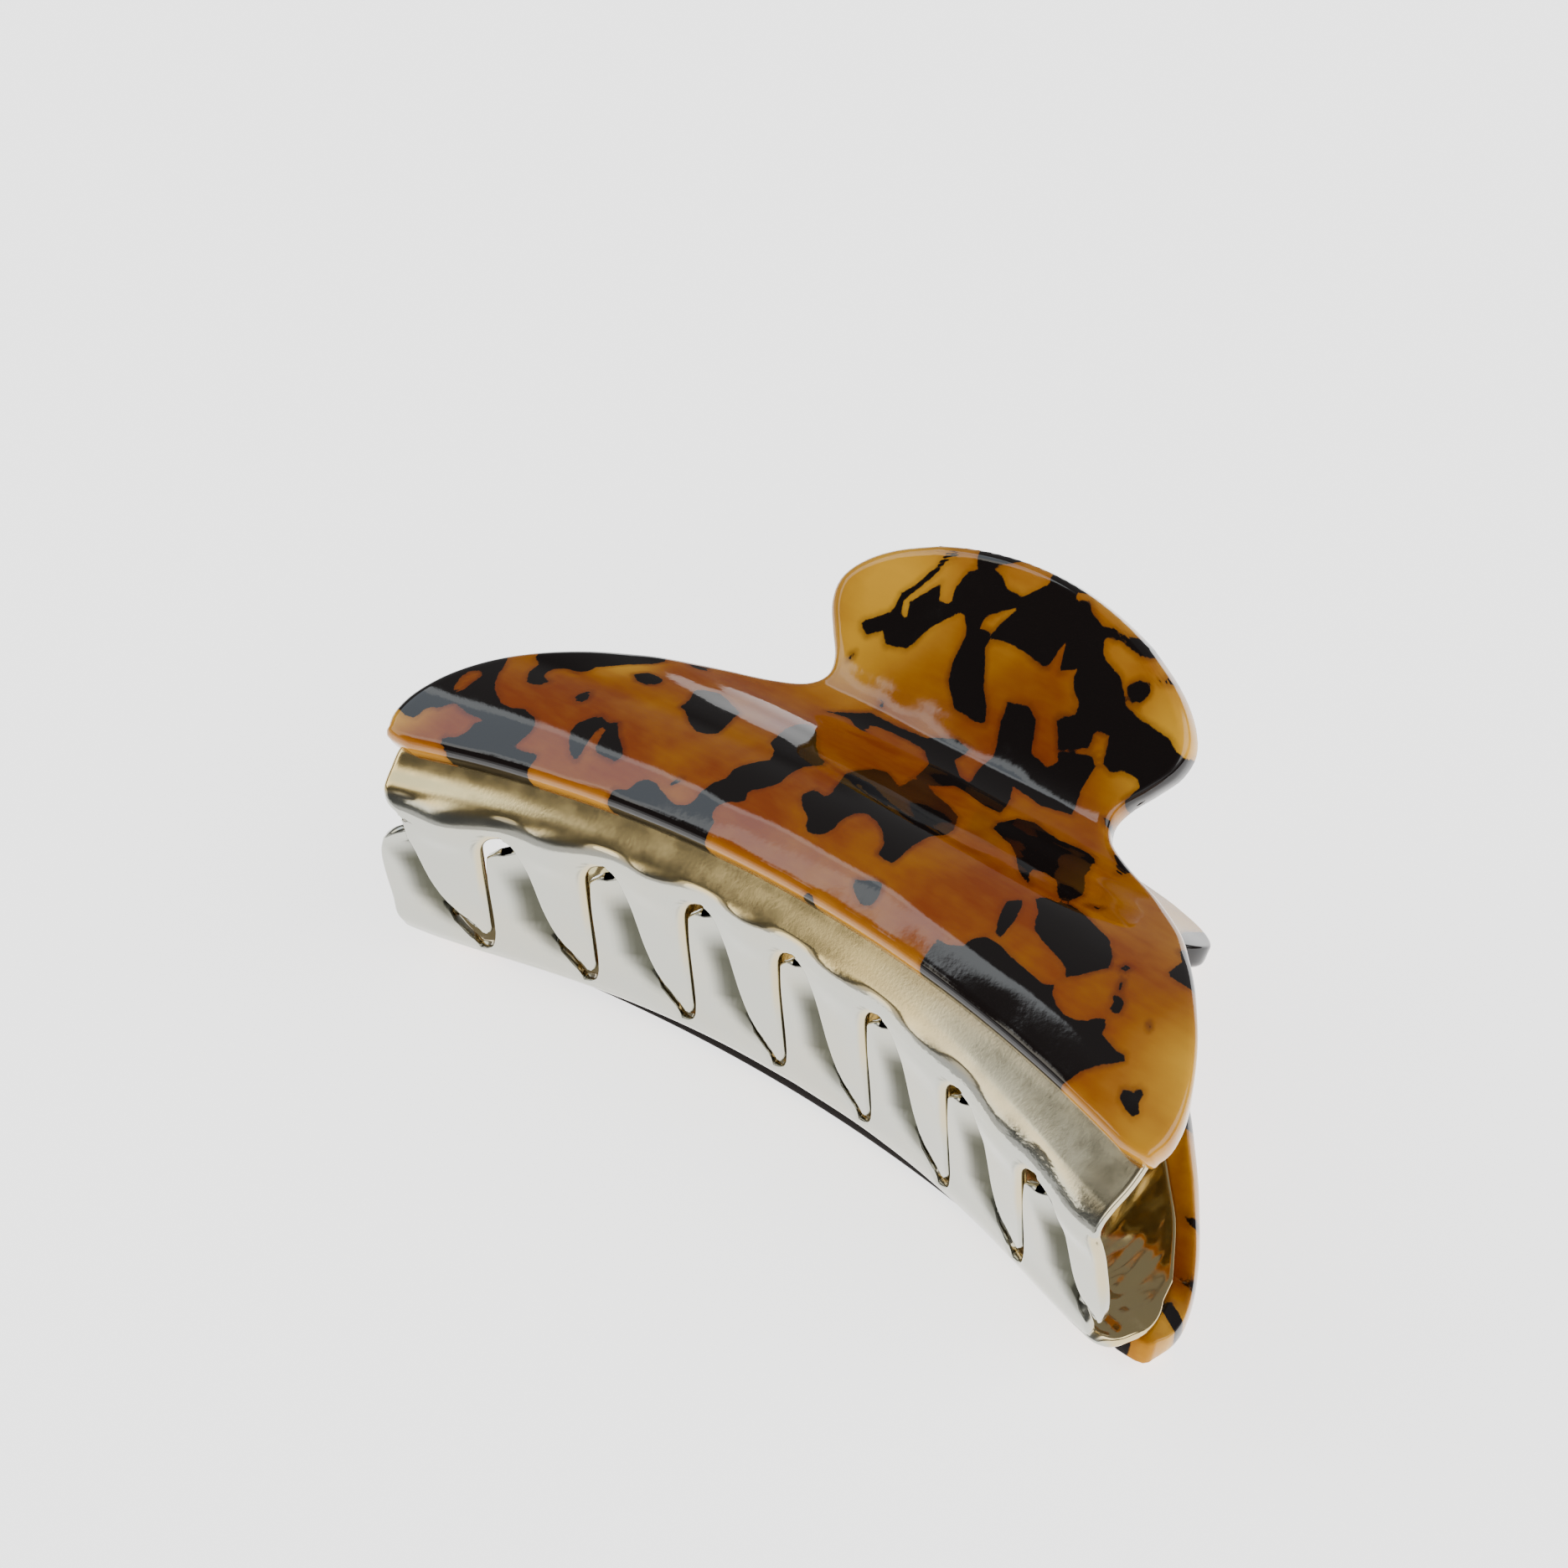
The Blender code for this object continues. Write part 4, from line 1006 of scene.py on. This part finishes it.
# Floor and light
FLOOR_HALF = 3.0
floor_mesh = bpy.data.meshes.new("floor")
corners = [(FLOOR_HALF * a, FLOOR_HALF * b, 0) for a, b in ((-1, -1), (1, -1), (1, 1), (-1, 1))]
floor_mesh.from_pydata(corners, [], [(0, 1, 2, 3)])
floor = bpy.data.objects.new("floor", floor_mesh)
bpy.context.scene.collection.objects.link(floor)
floor_mesh.materials.append(floor_material())

# The softbox is a rectangle on a plane one metre up: a corner, its two sides and its brightness
SOFTBOX_CORNER = (-0.38, 0.05)
SOFTBOX_SIDE = (-0.41, -0.91)
SOFTBOX_LENGTH = 1.6
SOFTBOX_WIDTH = 0.95
SOFTBOX_LIGHT = (1.9, 2.15, 2.4, 1.0)
SOFTBOX_RIM = (3.2, 3.4, 3.5, 1.0)
SOFTBOX_FAR = (3.2, 3.05, 2.65, 1.0)
ROOM_LIGHT = (0.3, 0.3, 0.3, 1.0)
ROOM_DARK = (0.13, 0.13, 0.13, 1.0)
DARK_SIDE = (-0.36, -0.68, 0.64)
COVE_LIGHT = (1.1, 1.1, 1.1, 1.0)
WINDOW_START = 0.4
WINDOW_LIGHT = (3.5, 3.5, 3.5, 1.0)


def studio_world():
    """A dim studio: a large softbox up to the left, a window to the right, a dark side in front."""
    world = bpy.data.worlds.new("studio")
    bpy.context.scene.world = world
    world.use_nodes = True
    n = Nodes(world.node_tree)
    way = n.add("ShaderNodeTexCoord").outputs["Generated"]
    split = n.add("ShaderNodeSeparateXYZ")
    n.put(split.inputs[0], way)
    x, y, z = split.outputs
    height = n.math("MAXIMUM", z, 0.02)
    flat_x = n.math("SUBTRACT", n.math("DIVIDE", x, height), SOFTBOX_CORNER[0])
    flat_y = n.math("SUBTRACT", n.math("DIVIDE", y, height), SOFTBOX_CORNER[1])
    side_x, side_y = SOFTBOX_SIDE
    along = n.math("ADD", n.math("MULTIPLY", flat_x, side_x), n.math("MULTIPLY", flat_y, side_y))
    across = n.math("ADD", n.math("MULTIPLY", flat_x, side_y), n.math("MULTIPLY", flat_y, -side_x))
    lit = n.math("MULTIPLY", n.step(along, 0.0, 0.03), n.step(along, SOFTBOX_LENGTH, SOFTBOX_LENGTH - 0.05))
    slant = n.math("MULTIPLY_ADD", n.step(along, 0.4, 0.55), 0.04, across)
    lit = n.math("MULTIPLY", lit, n.step(slant, -0.005, 0.03))
    lit = n.math("MULTIPLY", lit, n.step(across, SOFTBOX_WIDTH, SOFTBOX_WIDTH - 0.05))
    toward = n.add("ShaderNodeVectorMath", operation="DOT_PRODUCT")
    n.put(toward.inputs[0], way)
    toward.inputs[1].default_value = DARK_SIDE
    dark = n.math("MULTIPLY", n.step(toward.outputs["Value"], 0.72, 0.95), n.step(z, 0.34, 0.46))
    room = n.mix(dark, ROOM_LIGHT, ROOM_DARK)
    cove = n.math("MULTIPLY", n.step(z, 0.34, 0.28), n.step(y, -0.3, -0.6))
    room = n.mix(cove, room, COVE_LIGHT)
    right_low = n.math("MULTIPLY", n.step(z, 0.35, 0.1), n.step(x, 0.3, 0.6))
    room = n.mix(right_low, room, ROOM_DARK)
    window = n.math("MULTIPLY", n.step(x, WINDOW_START, WINDOW_START + 0.15), n.step(z, 0.3, 0.5))
    room = n.mix(window, room, WINDOW_LIGHT)
    rim = n.math("MAXIMUM", n.step(across, 0.075, 0.06), n.step(along, 0.075, 0.06))
    box = n.mix(rim, SOFTBOX_LIGHT, SOFTBOX_RIM)
    box = n.mix(n.step(along, 0.4, 0.7), box, SOFTBOX_FAR)
    n.put(world.node_tree.nodes["Background"].inputs["Color"], n.mix(lit, room, box))


studio_world()
